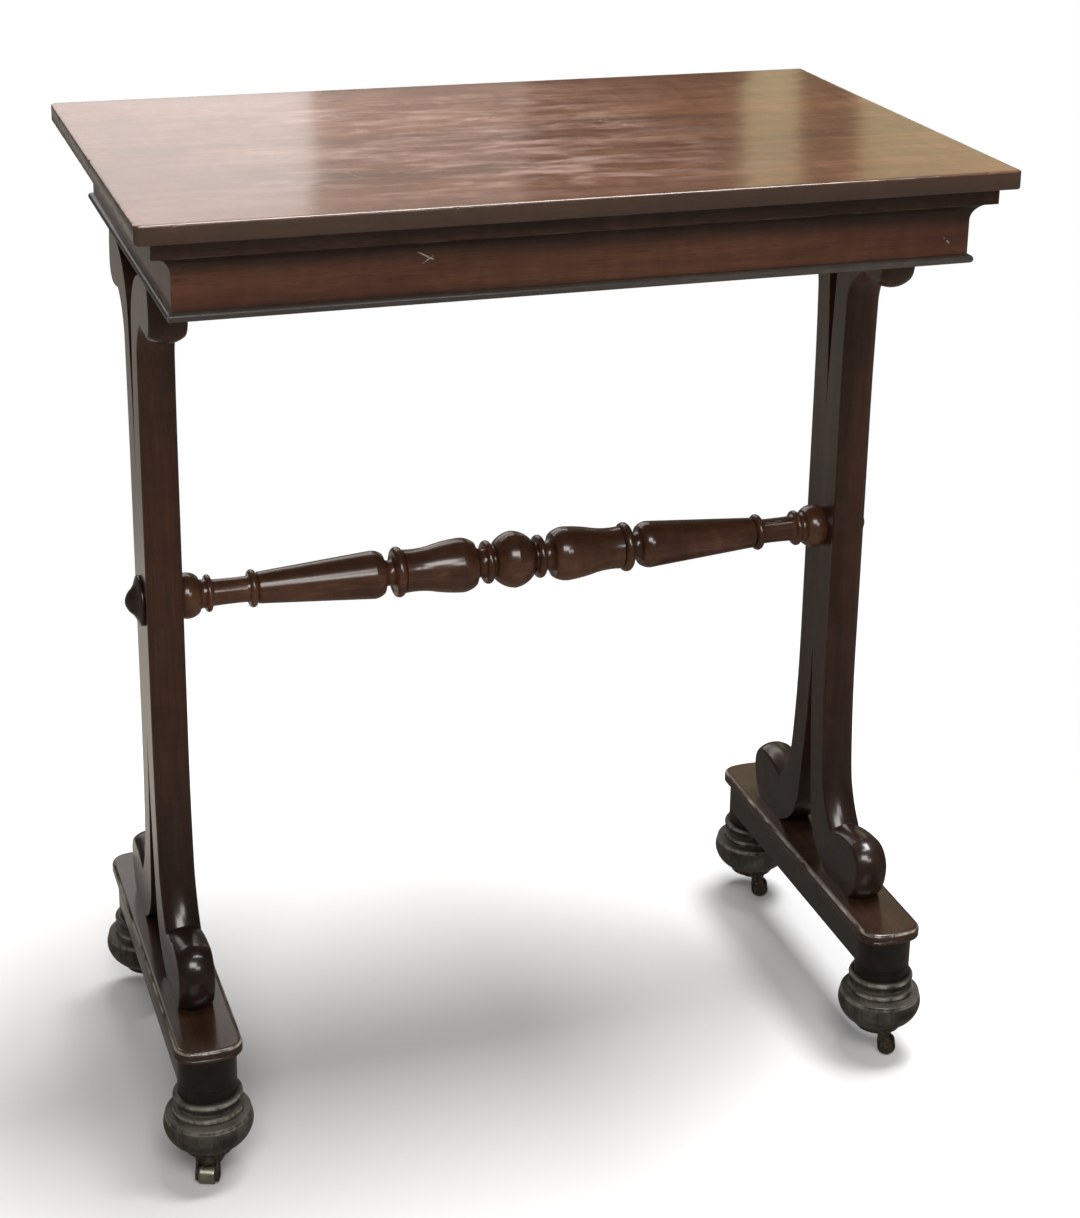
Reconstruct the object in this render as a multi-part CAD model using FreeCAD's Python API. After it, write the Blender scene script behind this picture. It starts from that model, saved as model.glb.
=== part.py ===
import FreeCAD, Part
import math
import os

# A mahogany side table: a rectangular top on a coved frieze, two pierced end supports joined by a
# turned stretcher, two platforms, four turned feet and four swivel castors. X runs along the table,
# the front is at -Y, Z is up, and the floor is at zero under the middle of the top.

# Whole table
table_height = 720.0
end_inset = 36.0
fit_clearance = 0.05
tenon_clearance = 0.05
overrun = 5.0

# Top board
top_length = 600.0
top_depth = 372.0
top_thickness = 13.0
top_corner_radius = 4.0
top_arris_radius = 1.6

# Mouldings under the top, each measured inwards from the edge of the top board
fillet_inset = 11.0
fillet_height = 12.0
frieze_inset = 25.0
frieze_height = 38.0
frieze_thickness = 10.0
bead_inset = 21.5
bead_height = 6.0

# Bearers and corner blocks inside the frieze
bearer_width = 26.0
block_leg = 22.0
block_height = 40.0

# Screws that hold the top board
top_screw_radius = 2.0
top_screw_head_radius = 4.5
top_screw_head_height = 2.6
top_screw_bite = 8.5
top_screw_pocket_depth = 32.0
top_screw_pocket_radius = 5.2
top_screw_edge_distance = 26.0

# Platforms
platform_width = 48.4
platform_end_reach = 23.0
platform_end_swell = 4.0
platform_corner_radius = 14.0
platform_lip_reach = 3.0
platform_round_height = 6.0
platform_round_radius = 3.4
platform_quirk_radius = 0.7
platform_bead_height = 3.2
platform_bead_radius = 1.5
platform_top_level = 117.0
platform_bottom_level = 84.0

# End supports, heights measured from the face that each end stands against
support_thickness = 26.0
support_waist_half = 23.0
support_swell = 6.5
support_swell_corner_radius = 3.5
support_swell_root = 1.0
lower_end_sizes = {
    "knob_reach": 85.5,
    "knob_radius": 14.5,
    "knob_height": 28.0,
    "toe_reach": 86.0,
    "notch_reach": 50.0,
    "notch_height": 36.5,
    "knee_reach": 28.5,
    "knee_height": 84.0,
    "flare_height": 181.0,
}
upper_end_sizes = {
    "knob_reach": 68.0,
    "knob_radius": 12.5,
    "knob_height": 23.0,
    "toe_reach": 77.0,
    "notch_reach": 50.0,
    "notch_height": 32.5,
    "knee_reach": 25.0,
    "knee_height": 66.0,
    "flare_height": 150.0,
}

# Slots between the branches of the supports, heights measured as above and lengths as shares of
# the support's height
arch_half_width = 48.0
arch_shoulder_half = 22.5
arch_shoulder_height = 18.0
arch_throat_half = 12.3
arch_throat_height = 44.0
lower_slot_share = 0.335
upper_slot_share = 0.295
upper_throat_share = 0.56
slot_middle_width_share = 0.37

# Tenons of the supports
tenon_thickness = 9.0
tenon_width = 18.0
lower_tenon_reach = 70.0
upper_tenon_reach = 60.0
lower_tenon_length = 18.0
upper_tenon_length = 20.0
upper_tenon_inset = 2.5

# Stretcher and bosses, the stretcher's height as a share of the support's height
stretcher_height_share = 0.5262
stretcher_radius = 21.5
stretcher_pin_radius = 7.5
stretcher_pin_length = 16.0
boss_radius = 18.5
boss_reach = 11.5
boss_pin_length = 10.0

# Feet
foot_reach = 128.0
foot_radius = 32.0
foot_bottom_level = 30.0
foot_pin_radius = 8.0
foot_pin_length = 16.0
foot_pin_end_gap = 0.5

# Castors
plate_radius = 17.5
plate_thickness = 4.0
swivel_gap = 0.3
swivel_boss_radius = 10.5
swivel_boss_foot_radius = 9.0
swivel_boss_height = 5.0
swivel_pin_radius = 3.0
swivel_pin_head_radius = 4.4
swivel_pin_head_height = 1.4
hood_top_radius = 15.0
hood_foot_radius = 9.5
hood_back_offset = 0.5
hood_wheel_gap = 0.8
castor_trail = 8.0
wheel_radius = 7.0
wheel_width = 12.0
wheel_arris_radius = 1.4
wheel_dish_radius = 4.6
wheel_dish_depth = 0.9
axle_radius = 1.5
axle_head_radius = 2.4
axle_head_height = 0.7
axle_end_gap = 0.1
cheek_gap = 0.3
cheek_thickness = 1.8
cheek_eye_radius = 5.2
cheek_top_near = 1.5
cheek_top_far = 8.4
cheek_near_angle = 175.0
cheek_far_angle = 15.0
castor_screw_count = 3
castor_screw_circle_radius = 14.3
castor_screw_radius = 0.9
castor_screw_head_radius = 1.6
castor_screw_head_height = 0.8
castor_screw_length = 11.0

# Where each castor trails at rest, as an angle from +X about Z in degrees
castor_trail_angles = {
    "front_left": -113.0,
    "front_right": -24.0,
    "back_left": -16.0,
    "back_right": -20.0,
}

# Turned outlines. Each row is the end of a run: how far along it is as a share of the length,
# its radius as a share of the largest radius, and the radius half way along when the run is an arc.
stretcher_rows_shares = (
    (0.058, 0.63, 0.905),
    (0.072, 0.52, 0.50),
    (0.090, 0.52, 0.76),
    (0.116, 0.60, 0.50),
    (0.122, 0.78, None),
    (0.168, 0.95, 0.920),
    (0.256, 0.79, 0.895),
    (0.336, 0.75, 0.735),
    (0.342, 0.62, None),
    (0.366, 0.62, 0.875),
    (0.372, 0.46, None),
    (0.396, 0.50, 0.44),
    (0.400, 0.70, None),
    (0.430, 0.83, 0.80),
    (0.768, 0.54, None),
    (0.776, 0.46, None),
    (0.796, 0.46, 0.645),
    (0.804, 0.44, None),
    (0.900, 0.45, 0.435),
    (0.906, 0.50, None),
    (0.922, 0.50, 0.635),
    (0.930, 0.48, None),
    (0.942, 0.62, 0.50),
    (1.000, 0.70, 0.775),
)
boss_rows_shares = (
    (0.00, 0.95, None),
    (0.22, 0.95, 1.00),
    (0.30, 0.82, None),
    (0.58, 0.50, 0.62),
    (0.92, 0.22, 0.40),
    (1.00, 0.08, 0.165),
)
foot_rows_shares = (
    (0.000, 0.52, None),
    (0.315, 1.00, 0.900),
    (0.450, 0.96, 0.993),
    (0.456, 0.925, None),
    (0.500, 0.915, 0.955),
    (0.508, 0.79, None),
    (0.520, 0.76, None),
    (0.610, 0.73, 0.800),
    (0.618, 0.67, None),
    (0.700, 0.69, 0.655),
    (0.708, 0.73, None),
    (0.795, 0.72, 0.775),
    (0.803, 0.66, None),
    (1.000, 0.66, None),
)

# Levels and places worked out from the sizes above
top_underside = table_height - top_thickness
fillet_underside = top_underside - fillet_height
frieze_underside = fillet_underside - frieze_height
bead_underside = frieze_underside - bead_height
frieze_inner_inset = frieze_inset + frieze_thickness
bearer_outer_face = top_length / 2 - frieze_inner_inset
bearer_inner_face = bearer_outer_face - bearer_width
bearer_half_length = top_depth / 2 - frieze_inner_inset
end_centre = top_length / 2 - end_inset
support_inner_face = end_centre - support_thickness / 2
support_outer_face = end_centre + support_thickness / 2
support_height = bead_underside - platform_top_level
stretcher_level = platform_top_level + stretcher_height_share * support_height
plate_underside = foot_bottom_level - plate_thickness
swivel_boss_top = plate_underside - swivel_gap
swivel_boss_underside = swivel_boss_top - swivel_boss_height
hood_underside = 2 * wheel_radius + hood_wheel_gap

X_AXIS = FreeCAD.Vector(1, 0, 0)
Y_AXIS = FreeCAD.Vector(0, 1, 0)
Z_AXIS = FreeCAD.Vector(0, 0, 1)
ORIGIN = FreeCAD.Vector(0, 0, 0)


def box(low, high):
    """A box between two corners."""
    size = FreeCAD.Vector(*high) - FreeCAD.Vector(*low)
    return Part.makeBox(size.x, size.y, size.z, FreeCAD.Vector(*low))


def line(start, end):
    """A straight edge."""
    return Part.LineSegment(start, end).toShape()


def arc(start, middle, end):
    """A circular edge through three points."""
    return Part.Arc(start, middle, end).toShape()


def filled(edges):
    """The flat face that a closed chain of edges bounds."""
    return Part.Face(Part.Wire(edges))


def mirrored(shape, normal):
    """A shape mirrored in the plane through the origin with this normal."""
    return shape.mirror(ORIGIN, normal)


def side_name(sign):
    """The name of the end of the table at this sign of X."""
    return "right" if sign > 0 else "left"


def outline_edges(rows, length, radius, start_radius_share, sense):
    """The edges of a turned outline in the X-Z plane, from X = 0 towards the side that sense gives."""
    edges = []
    here = FreeCAD.Vector(0, 0, start_radius_share * radius)
    for along_share, radius_share, middle_share in rows:
        there = FreeCAD.Vector(sense * along_share * length, 0, radius_share * radius)
        if middle_share is not None:
            middle = FreeCAD.Vector((here.x + there.x) / 2, 0, middle_share * radius)
            edges.append(arc(here, middle, there))
        elif here.distanceToPoint(there) > 0:
            edges.append(line(here, there))
        here = there
    return edges, here


def turned(edges, first, last):
    """The solid that a turned outline sweeps about the X axis."""
    ends = []
    start_foot = FreeCAD.Vector(first.x, 0, 0)
    end_foot = FreeCAD.Vector(last.x, 0, 0)
    if first.z > 0:
        ends.append(line(start_foot, first))
    if last.z > 0:
        ends.append(line(last, end_foot))
    ends.append(line(end_foot, start_foot))
    wire = Part.Wire(Part.sortEdges(edges + ends)[0])
    return Part.Face(wire).revolve(ORIGIN, X_AXIS, 360)


def upright(shape, place):
    """A solid turned about X, stood on end with its start at this place."""
    moved = shape.copy()
    moved.rotate(ORIGIN, Y_AXIS, -90)
    moved.translate(place)
    return moved


def make_top_board():
    """The top: a plain board with rounded corners and eased edges, drilled for its screws."""
    half_length = top_length / 2
    half_depth = top_depth / 2
    board = box((-half_length, -half_depth, top_underside), (half_length, half_depth, table_height))
    corners = [edge for edge in board.Edges if abs(edge.tangentAt(edge.FirstParameter).z) > 0.5]
    board = board.makeFillet(top_corner_radius, corners)
    rims = [edge for edge in board.Edges if edge.BoundBox.ZLength < top_arris_radius]
    board = board.makeFillet(top_arris_radius, rims)
    for place in top_screw_places():
        hole = Part.makeCylinder(top_screw_radius + fit_clearance, top_screw_bite, place, Z_AXIS)
        board = board.cut(hole)
    return board


def top_screw_places():
    """Where the screws enter the underside of the top board."""
    reach = bearer_half_length - top_screw_edge_distance
    across = (bearer_inner_face + bearer_outer_face) / 2
    return [
        FreeCAD.Vector(side * across, end * reach, top_underside)
        for side in (-1, 1)
        for end in (-1, 1)
    ]


def fillet_section():
    """The section of the plain strip right under the top board."""
    return section_edges(
        [
            (fillet_inset, fillet_underside),
            (frieze_inner_inset, fillet_underside),
            (frieze_inner_inset, top_underside),
            (fillet_inset, top_underside),
        ]
    )


def section_edges(corners):
    """Straight edges round a section whose corners are given as inset and level."""
    points = [FreeCAD.Vector(0, inset, level) for inset, level in corners]
    return [line(points[i - 1], points[i]) for i in range(len(points))]


def frieze_section():
    """The section of a frieze rail: a hollow quarter round above a flat face."""
    hollow = frieze_inset - fillet_inset
    head = FreeCAD.Vector(0, fillet_inset, fillet_underside)
    hollow_foot = FreeCAD.Vector(0, frieze_inset, fillet_underside - hollow)
    centre = FreeCAD.Vector(0, fillet_inset, fillet_underside - hollow)
    turn = math.radians(45)
    middle = centre + FreeCAD.Vector(0, math.cos(turn), math.sin(turn)) * hollow
    foot = FreeCAD.Vector(0, frieze_inset, frieze_underside)
    inner_foot = FreeCAD.Vector(0, frieze_inner_inset, frieze_underside)
    inner_head = FreeCAD.Vector(0, frieze_inner_inset, fillet_underside)
    return [
        arc(head, middle, hollow_foot),
        line(hollow_foot, foot),
        line(foot, inner_foot),
        line(inner_foot, inner_head),
        line(inner_head, head),
    ]


def bead_section():
    """The section of the bead along the foot of the frieze: a half-round nose on a strip."""
    nose = bead_height / 2
    low = FreeCAD.Vector(0, bead_inset + nose, bead_underside)
    tip = FreeCAD.Vector(0, bead_inset, bead_underside + nose)
    high = FreeCAD.Vector(0, bead_inset + nose, frieze_underside)
    inner_low = FreeCAD.Vector(0, frieze_inner_inset, bead_underside)
    inner_high = FreeCAD.Vector(0, frieze_inner_inset, frieze_underside)
    return [
        arc(low, tip, high),
        line(high, inner_high),
        line(inner_high, inner_low),
        line(inner_low, low),
    ]


def mitred_run(edges, span, offset, quarter_turns):
    """One side of a moulding round the table, mitred at both ends and turned to its own side."""
    half = span / 2
    run = filled(edges).extrude(X_AXIS * span)
    run.translate(FreeCAD.Vector(-half, -offset, 0))
    depth = frieze_inner_inset + overrun
    corners = [
        FreeCAD.Vector(-half, -offset, 0),
        FreeCAD.Vector(half, -offset, 0),
        FreeCAD.Vector(half - depth, -offset + depth, 0),
        FreeCAD.Vector(-half + depth, -offset + depth, 0),
    ]
    wedge = filled([line(corners[i - 1], corners[i]) for i in range(len(corners))])
    run = run.common(wedge.extrude(Z_AXIS * table_height))
    run.rotate(ORIGIN, Z_AXIS, 90 * quarter_turns)
    return run


def make_mouldings():
    """The three mouldings under the top board, four mitred lengths of each."""
    pieces = {}
    for turns, side in enumerate(("front", "right", "back", "left")):
        along_x = turns % 2 == 0
        span = top_length if along_x else top_depth
        offset = top_depth / 2 if along_x else top_length / 2
        for name, edges in (
            ("top_fillet", fillet_section()),
            ("frieze", frieze_section()),
            ("frieze_bead", bead_section()),
        ):
            pieces[f"{name}_{side}"] = mitred_run(edges, span, offset, turns)
    return pieces


def make_bearer(sign):
    """The cross bearer beside an end rail, with mortises for its support and pockets for screws."""
    bearer = box(
        (bearer_inner_face, -bearer_half_length, bead_underside),
        (bearer_outer_face, bearer_half_length, top_underside),
    )
    for end in (-1, 1):
        bearer = bearer.cut(upper_tenon(end, tenon_clearance))
    if sign < 0:
        bearer = mirrored(bearer, X_AXIS)
    for place in top_screw_places():
        pocket_floor = bead_underside + top_screw_pocket_depth
        foot = FreeCAD.Vector(place.x, place.y, bead_underside)
        pocket = Part.makeCylinder(top_screw_pocket_radius, top_screw_pocket_depth, foot, Z_AXIS)
        hole = Part.makeCylinder(
            top_screw_radius + fit_clearance,
            top_underside - pocket_floor + overrun,
            FreeCAD.Vector(place.x, place.y, pocket_floor),
            Z_AXIS,
        )
        bearer = bearer.cut([pocket, hole])
    return bearer


def make_top_screws():
    """Four screws that rise through the bearers into the top board."""
    screws = []
    for place in top_screw_places():
        seat = FreeCAD.Vector(place.x, place.y, bead_underside + top_screw_pocket_depth)
        shank_length = top_underside - seat.z + top_screw_bite - fit_clearance
        shank = Part.makeCylinder(top_screw_radius, shank_length, seat, Z_AXIS)
        head = Part.makeCylinder(top_screw_head_radius, top_screw_head_height, seat, -Z_AXIS)
        screws.append(shank.fuse(head).removeSplitter())
    return Part.makeCompound(screws)


def make_corner_block(sign_x, sign_y):
    """A three-cornered block glued between a bearer and a long rail, close under the top board."""
    corner = FreeCAD.Vector(bearer_inner_face, bearer_half_length, top_underside - block_height)
    points = [corner, corner - X_AXIS * block_leg, corner - Y_AXIS * block_leg]
    block = filled([line(points[i - 1], points[i]) for i in range(len(points))])
    block = block.extrude(Z_AXIS * block_height)
    if sign_x < 0:
        block = mirrored(block, X_AXIS)
    if sign_y < 0:
        block = mirrored(block, Y_AXIS)
    return block


def upper_tenon(end, clearance):
    """The tenon that enters the right-hand bearer, or its mortise when a clearance is given."""
    outer = bearer_outer_face - upper_tenon_inset
    extra = overrun if clearance else 0
    return box(
        (
            outer - tenon_thickness - clearance,
            end * upper_tenon_reach - tenon_width / 2 - clearance,
            bead_underside - extra,
        ),
        (
            outer + clearance,
            end * upper_tenon_reach + tenon_width / 2 + clearance,
            bead_underside + upper_tenon_length + clearance,
        ),
    )


def lower_tenon(end, clearance):
    """The tenon that enters the right-hand platform, or its mortise when a clearance is given."""
    extra = overrun if clearance else 0
    return box(
        (
            end_centre - tenon_thickness / 2 - clearance,
            end * lower_tenon_reach - tenon_width / 2 - clearance,
            platform_top_level - lower_tenon_length - clearance,
        ),
        (
            end_centre + tenon_thickness / 2 + clearance,
            end * lower_tenon_reach + tenon_width / 2 + clearance,
            platform_top_level + extra,
        ),
    )


def tangent_radius(across, along):
    """The radius of an arc that leaves its start along one axis and ends this far off."""
    return (across**2 + along**2) / (2 * across)


def polar(centre, radius, degrees):
    """A point of a circle in the Y-Z plane."""
    turn = math.radians(degrees)
    return FreeCAD.Vector(0, centre[0] + radius * math.cos(turn), centre[1] + radius * math.sin(turn))


def support_stretches(sizes):
    """The stretches of one quarter of a support's outline, from the toe of the knob to the waist.

    Each stretch is a centre, a radius, two angles in degrees from +Y towards +Z, and the side of
    the arc on which the swelled edge stands: 1 away from the centre, -1 towards it.
    """
    knob = (sizes["knob_reach"], sizes["knob_height"])
    radius = sizes["knob_radius"]
    toe_radius = tangent_radius(knob[0] + radius - sizes["toe_reach"], knob[1])
    toe_centre = (knob[0] + radius - toe_radius, knob[1])
    toe_angle = math.degrees(math.asin(knob[1] / toe_radius))

    back_run = knob[0] - sizes["notch_reach"]
    back_radius = tangent_radius(knob[1] + radius - sizes["notch_height"], back_run)
    back_centre = (knob[0], knob[1] + radius - back_radius)
    back_angle = math.degrees(math.asin(back_run / back_radius))

    rise = sizes["flare_height"] - sizes["knee_height"]
    rise_radius = tangent_radius(sizes["knee_reach"] - support_waist_half, rise)
    rise_centre = (support_waist_half + rise_radius, sizes["flare_height"])
    rise_angle = math.asin(rise / rise_radius)

    run = sizes["notch_reach"] - sizes["knee_reach"]
    drop = sizes["knee_height"] - sizes["notch_height"]
    normal = (math.cos(rise_angle), math.sin(rise_angle))
    hollow_radius = (run**2 + drop**2) / (2 * (run * normal[0] - drop * normal[1]))
    hollow_centre = (
        sizes["knee_reach"] + normal[0] * hollow_radius,
        sizes["knee_height"] + normal[1] * hollow_radius,
    )
    notch_angle = math.degrees(
        math.atan2(
            hollow_centre[1] - sizes["notch_height"], hollow_centre[0] - sizes["notch_reach"]
        )
    )
    rise_degrees = math.degrees(rise_angle)
    return [
        (toe_centre, toe_radius, -toe_angle, 0, 1),
        (knob, radius, 0, 90, 1),
        (back_centre, back_radius, 90, 90 + back_angle, 1),
        (hollow_centre, hollow_radius, 180 + notch_angle, 180 + rise_degrees, -1),
        (rise_centre, rise_radius, 180 + rise_degrees, 180, -1),
    ]


def support_board(sizes, height):
    """A quarter of a support's flat board, from its foot up to its mirror line."""
    edges = []
    for centre, radius, start, end, _ in support_stretches(sizes):
        points = [polar(centre, radius, start + (end - start) * share) for share in (0, 0.5, 1)]
        edges.append(arc(*points))
    waist_start = FreeCAD.Vector(0, support_waist_half, sizes["flare_height"])
    waist_end = FreeCAD.Vector(0, support_waist_half, height)
    inner_end = FreeCAD.Vector(0, 0, height)
    toe = FreeCAD.Vector(0, sizes["toe_reach"], 0)
    edges += [
        line(waist_start, waist_end),
        line(waist_end, inner_end),
        line(inner_end, ORIGIN),
        line(ORIGIN, toe),
    ]
    return filled(Part.sortEdges(edges)[0]).extrude(X_AXIS * support_thickness)


def swell_section(base, outwards):
    """The section of the swelled edge: a broad crown between two tight rounds, flush with the board."""
    half = support_thickness / 2
    corner = support_swell_corner_radius
    crown = ((half - corner) ** 2 + support_swell**2 - corner**2) / (2 * (support_swell - corner))
    turn = math.atan2(crown - support_swell, half - corner)
    middle = X_AXIS * half + base
    sides = []
    for side in (-1, 1):
        centre = middle + X_AXIS * side * (half - corner)
        sides.append(
            [
                centre + (X_AXIS * side * math.cos(angle) + outwards * math.sin(angle)) * corner
                for angle in (0, turn / 2, turn)
            ]
        )
    left, right = sides
    root = outwards * support_swell_root
    return filled(
        [
            arc(*left),
            arc(left[-1], middle + outwards * support_swell, right[-1]),
            arc(*reversed(right)),
            line(right[0], right[0] - root),
            line(right[0] - root, left[0] - root),
            line(left[0] - root, left[0]),
        ]
    )


def support_swells(sizes, height):
    """The swelled bands along one quarter of a support's outline."""
    bands = []
    for centre, radius, start, end, side in support_stretches(sizes):
        axis_point = FreeCAD.Vector(0, centre[0], centre[1])
        base = polar(centre, radius, start)
        outwards = (base - axis_point).normalize() * side
        section = swell_section(base, outwards)
        bands.append(section.revolve(axis_point, X_AXIS, end - start))
    waist = FreeCAD.Vector(0, support_waist_half, sizes["flare_height"])
    straight = Z_AXIS * (height - sizes["flare_height"])
    bands.append(swell_section(waist, Y_AXIS).extrude(straight))
    return bands


def slot_side(length, throat_share, sign):
    """One side of a slot: a long point that opens into an arch."""
    throat = sign * arch_throat_half * throat_share
    shoulder = sign * arch_shoulder_half * (1 + throat_share) / 2
    heel = sign * arch_half_width
    middle_height = (length + arch_throat_height) / 2
    tip = FreeCAD.Vector(0, 0, length)
    middle = FreeCAD.Vector(0, throat * slot_middle_width_share, middle_height)
    neck = FreeCAD.Vector(0, throat, arch_throat_height)
    return [
        arc(tip, middle, neck),
        arc(neck, FreeCAD.Vector(0, shoulder, arch_shoulder_height), FreeCAD.Vector(0, heel, 0)),
        line(FreeCAD.Vector(0, heel, 0), FreeCAD.Vector(0, heel, -overrun)),
    ]


def slot_cutter(length, throat_share):
    """A pierced slot, upwards from the face that the support stands against."""
    edges = slot_side(length, throat_share, 1) + slot_side(length, throat_share, -1)
    below = FreeCAD.Vector(0, arch_half_width, -overrun)
    edges.append(line(below, FreeCAD.Vector(0, -arch_half_width, -overrun)))
    cutter = filled(Part.sortEdges(edges)[0]).extrude(X_AXIS * (support_thickness + 2 * overrun))
    cutter.translate(-X_AXIS * overrun)
    return cutter


def support_end(sizes, height, cutter):
    """One end of a support, standing on the ground plane, front and back alike."""
    quarter = support_board(sizes, height).fuse(support_swells(sizes, height))
    keep = box((-overrun, -top_depth, 0), (support_thickness + overrun, top_depth, height))
    quarter = quarter.common(keep)
    return quarter.fuse(mirrored(quarter, Y_AXIS)).cut(cutter)


def make_support(sign):
    """An end support: a pierced board with swelled edges, a knob at each corner, four tenons."""
    half_height = support_height / 2
    lower_slot = slot_cutter(lower_slot_share * support_height, 1)
    upper_slot = slot_cutter(upper_slot_share * support_height, upper_throat_share)
    lower = support_end(lower_end_sizes, half_height, lower_slot)
    upper = mirrored(support_end(upper_end_sizes, half_height, upper_slot), Z_AXIS)
    upper.translate(Z_AXIS * support_height)
    support = lower.fuse(upper).removeSplitter()
    support.translate(FreeCAD.Vector(support_inner_face, 0, platform_top_level))
    bore = Part.makeCylinder(
        stretcher_pin_radius + fit_clearance,
        support_thickness + 2 * overrun,
        FreeCAD.Vector(support_inner_face - overrun, 0, stretcher_level),
        X_AXIS,
    )
    support = support.cut(bore)
    tenons = [lower_tenon(end, 0) for end in (-1, 1)] + [upper_tenon(end, 0) for end in (-1, 1)]
    support = support.fuse(tenons).removeSplitter()
    return support if sign > 0 else mirrored(support, X_AXIS)


def make_stretcher():
    """The turned stretcher, alike on both sides of its middle ball, with a pin at each end."""
    edges = []
    ends = []
    for sense in (1, -1):
        half, last = outline_edges(
            stretcher_rows_shares, support_inner_face, stretcher_radius, 1, sense
        )
        edges += half
        shoulder = FreeCAD.Vector(last.x, 0, stretcher_pin_radius)
        tip = shoulder + X_AXIS * sense * stretcher_pin_length
        edges += [line(last, shoulder), line(shoulder, tip)]
        ends.append(tip)
    solid = turned(edges, ends[1], ends[0])
    solid.translate(Z_AXIS * stretcher_level)
    return solid


def make_boss(sign):
    """The turned boss on the outside of a support, over the end of the stretcher."""
    edges, last = outline_edges(boss_rows_shares, boss_reach, boss_radius, 0, 1)
    pin = Part.makeCylinder(stretcher_pin_radius, boss_pin_length, ORIGIN, -X_AXIS)
    boss = turned(edges, ORIGIN, last).fuse(pin).removeSplitter()
    boss.translate(FreeCAD.Vector(support_outer_face, 0, stretcher_level))
    return boss if sign > 0 else mirrored(boss, X_AXIS)


def rounded_layer(half_length, half_width, bottom, height):
    """A layer of a platform's lip: straight sides, rounded corners and slightly swelled ends."""
    side = half_length - platform_end_swell
    right_front = FreeCAD.Vector(half_width, -side, bottom)
    right_back = FreeCAD.Vector(half_width, side, bottom)
    left_front = FreeCAD.Vector(-half_width, -side, bottom)
    left_back = FreeCAD.Vector(-half_width, side, bottom)
    face = filled(
        [
            line(right_front, right_back),
            arc(right_back, FreeCAD.Vector(0, half_length, bottom), left_back),
            line(left_back, left_front),
            arc(left_front, FreeCAD.Vector(0, -half_length, bottom), right_front),
        ]
    )
    layer = face.extrude(Z_AXIS * height)
    corners = [edge for edge in layer.Edges if edge.BoundBox.ZLength > height / 2]
    return layer.makeFillet(platform_corner_radius, corners)


def rim_eased(layer, level, radius):
    """A layer with the rim at this level rounded."""
    rim = [
        edge
        for edge in layer.Edges
        if max(abs(edge.BoundBox.ZMin - level), abs(edge.BoundBox.ZMax - level)) < fit_clearance
    ]
    return layer.makeFillet(radius, rim)


def make_platform(sign):
    """A platform: a round-ended block under a lip of two rounds, mortised, and bored for its feet."""
    half_length = foot_reach + platform_end_reach
    half_width = platform_width / 2
    round_bottom = platform_top_level - platform_round_height
    bead_bottom = round_bottom - platform_bead_height
    upper = rounded_layer(half_length, half_width, round_bottom, platform_round_height)
    upper = rim_eased(upper, platform_top_level, platform_round_radius)
    upper = rim_eased(upper, round_bottom, platform_quirk_radius)
    bead = rounded_layer(half_length, half_width, bead_bottom, platform_bead_height)
    bead = rim_eased(bead, round_bottom, platform_bead_radius)
    bead = rim_eased(bead, bead_bottom, platform_bead_radius)
    block_half_width = half_width - platform_lip_reach
    block_height = bead_bottom - platform_bottom_level
    parts = [
        bead,
        box(
            (-block_half_width, -foot_reach, platform_bottom_level),
            (block_half_width, foot_reach, bead_bottom),
        ),
    ]
    for end in (-1, 1):
        centre = FreeCAD.Vector(0, end * foot_reach, platform_bottom_level)
        parts.append(Part.makeCylinder(block_half_width, block_height, centre, Z_AXIS))
    platform = upper.fuse(parts).removeSplitter()
    platform.translate(X_AXIS * end_centre)
    cutters = [lower_tenon(end, tenon_clearance) for end in (-1, 1)]
    for end in (-1, 1):
        cutters.append(
            Part.makeCylinder(
                foot_pin_radius + fit_clearance,
                foot_pin_length + foot_pin_end_gap + overrun,
                FreeCAD.Vector(end_centre, end * foot_reach, platform_bottom_level - overrun),
                Z_AXIS,
            )
        )
    platform = platform.cut(cutters)
    return platform if sign > 0 else mirrored(platform, X_AXIS)


def castor_screw_places(centre, level):
    """Where a castor's screws stand round its swivel."""
    places = []
    for index in range(castor_screw_count):
        turn = 2 * math.pi * index / castor_screw_count + math.pi / 2
        offset = FreeCAD.Vector(math.cos(turn), math.sin(turn), 0) * castor_screw_circle_radius
        places.append(FreeCAD.Vector(centre.x, centre.y, level) + offset)
    return places


def make_foot(centre):
    """A turned bun foot with a pin above and holes for its castor below."""
    height = platform_bottom_level - foot_bottom_level
    edges, last = outline_edges(foot_rows_shares, height, foot_radius, 0, 1)
    foot = upright(turned(edges, ORIGIN, last), ORIGIN)
    foot = foot.fuse(Part.makeCylinder(foot_pin_radius, foot_pin_length, Z_AXIS * height, Z_AXIS))
    foot = foot.removeSplitter()
    foot.translate(FreeCAD.Vector(centre.x, centre.y, foot_bottom_level))
    holes = [
        Part.makeCylinder(castor_screw_radius + fit_clearance, castor_screw_length, place, Z_AXIS)
        for place in castor_screw_places(centre, foot_bottom_level)
    ]
    return foot.cut(holes)


def screw_cone(place, clearance):
    """A countersunk head whose wide face is flush with the underside of a castor plate."""
    return Part.makeCone(
        castor_screw_head_radius + clearance,
        castor_screw_radius + clearance,
        castor_screw_head_height,
        place,
        Z_AXIS,
    )


def make_castor_screws(centres):
    """The countersunk screws that hold the castor plates."""
    screws = []
    for centre in centres:
        for place in castor_screw_places(centre, plate_underside):
            shank_start = place + Z_AXIS * castor_screw_head_height
            reach = plate_thickness + castor_screw_length - castor_screw_head_height - fit_clearance
            shank = Part.makeCylinder(castor_screw_radius, reach, shank_start, Z_AXIS)
            screws.append(screw_cone(place, 0).fuse(shank).removeSplitter())
    return Part.makeCompound(screws)


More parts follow.
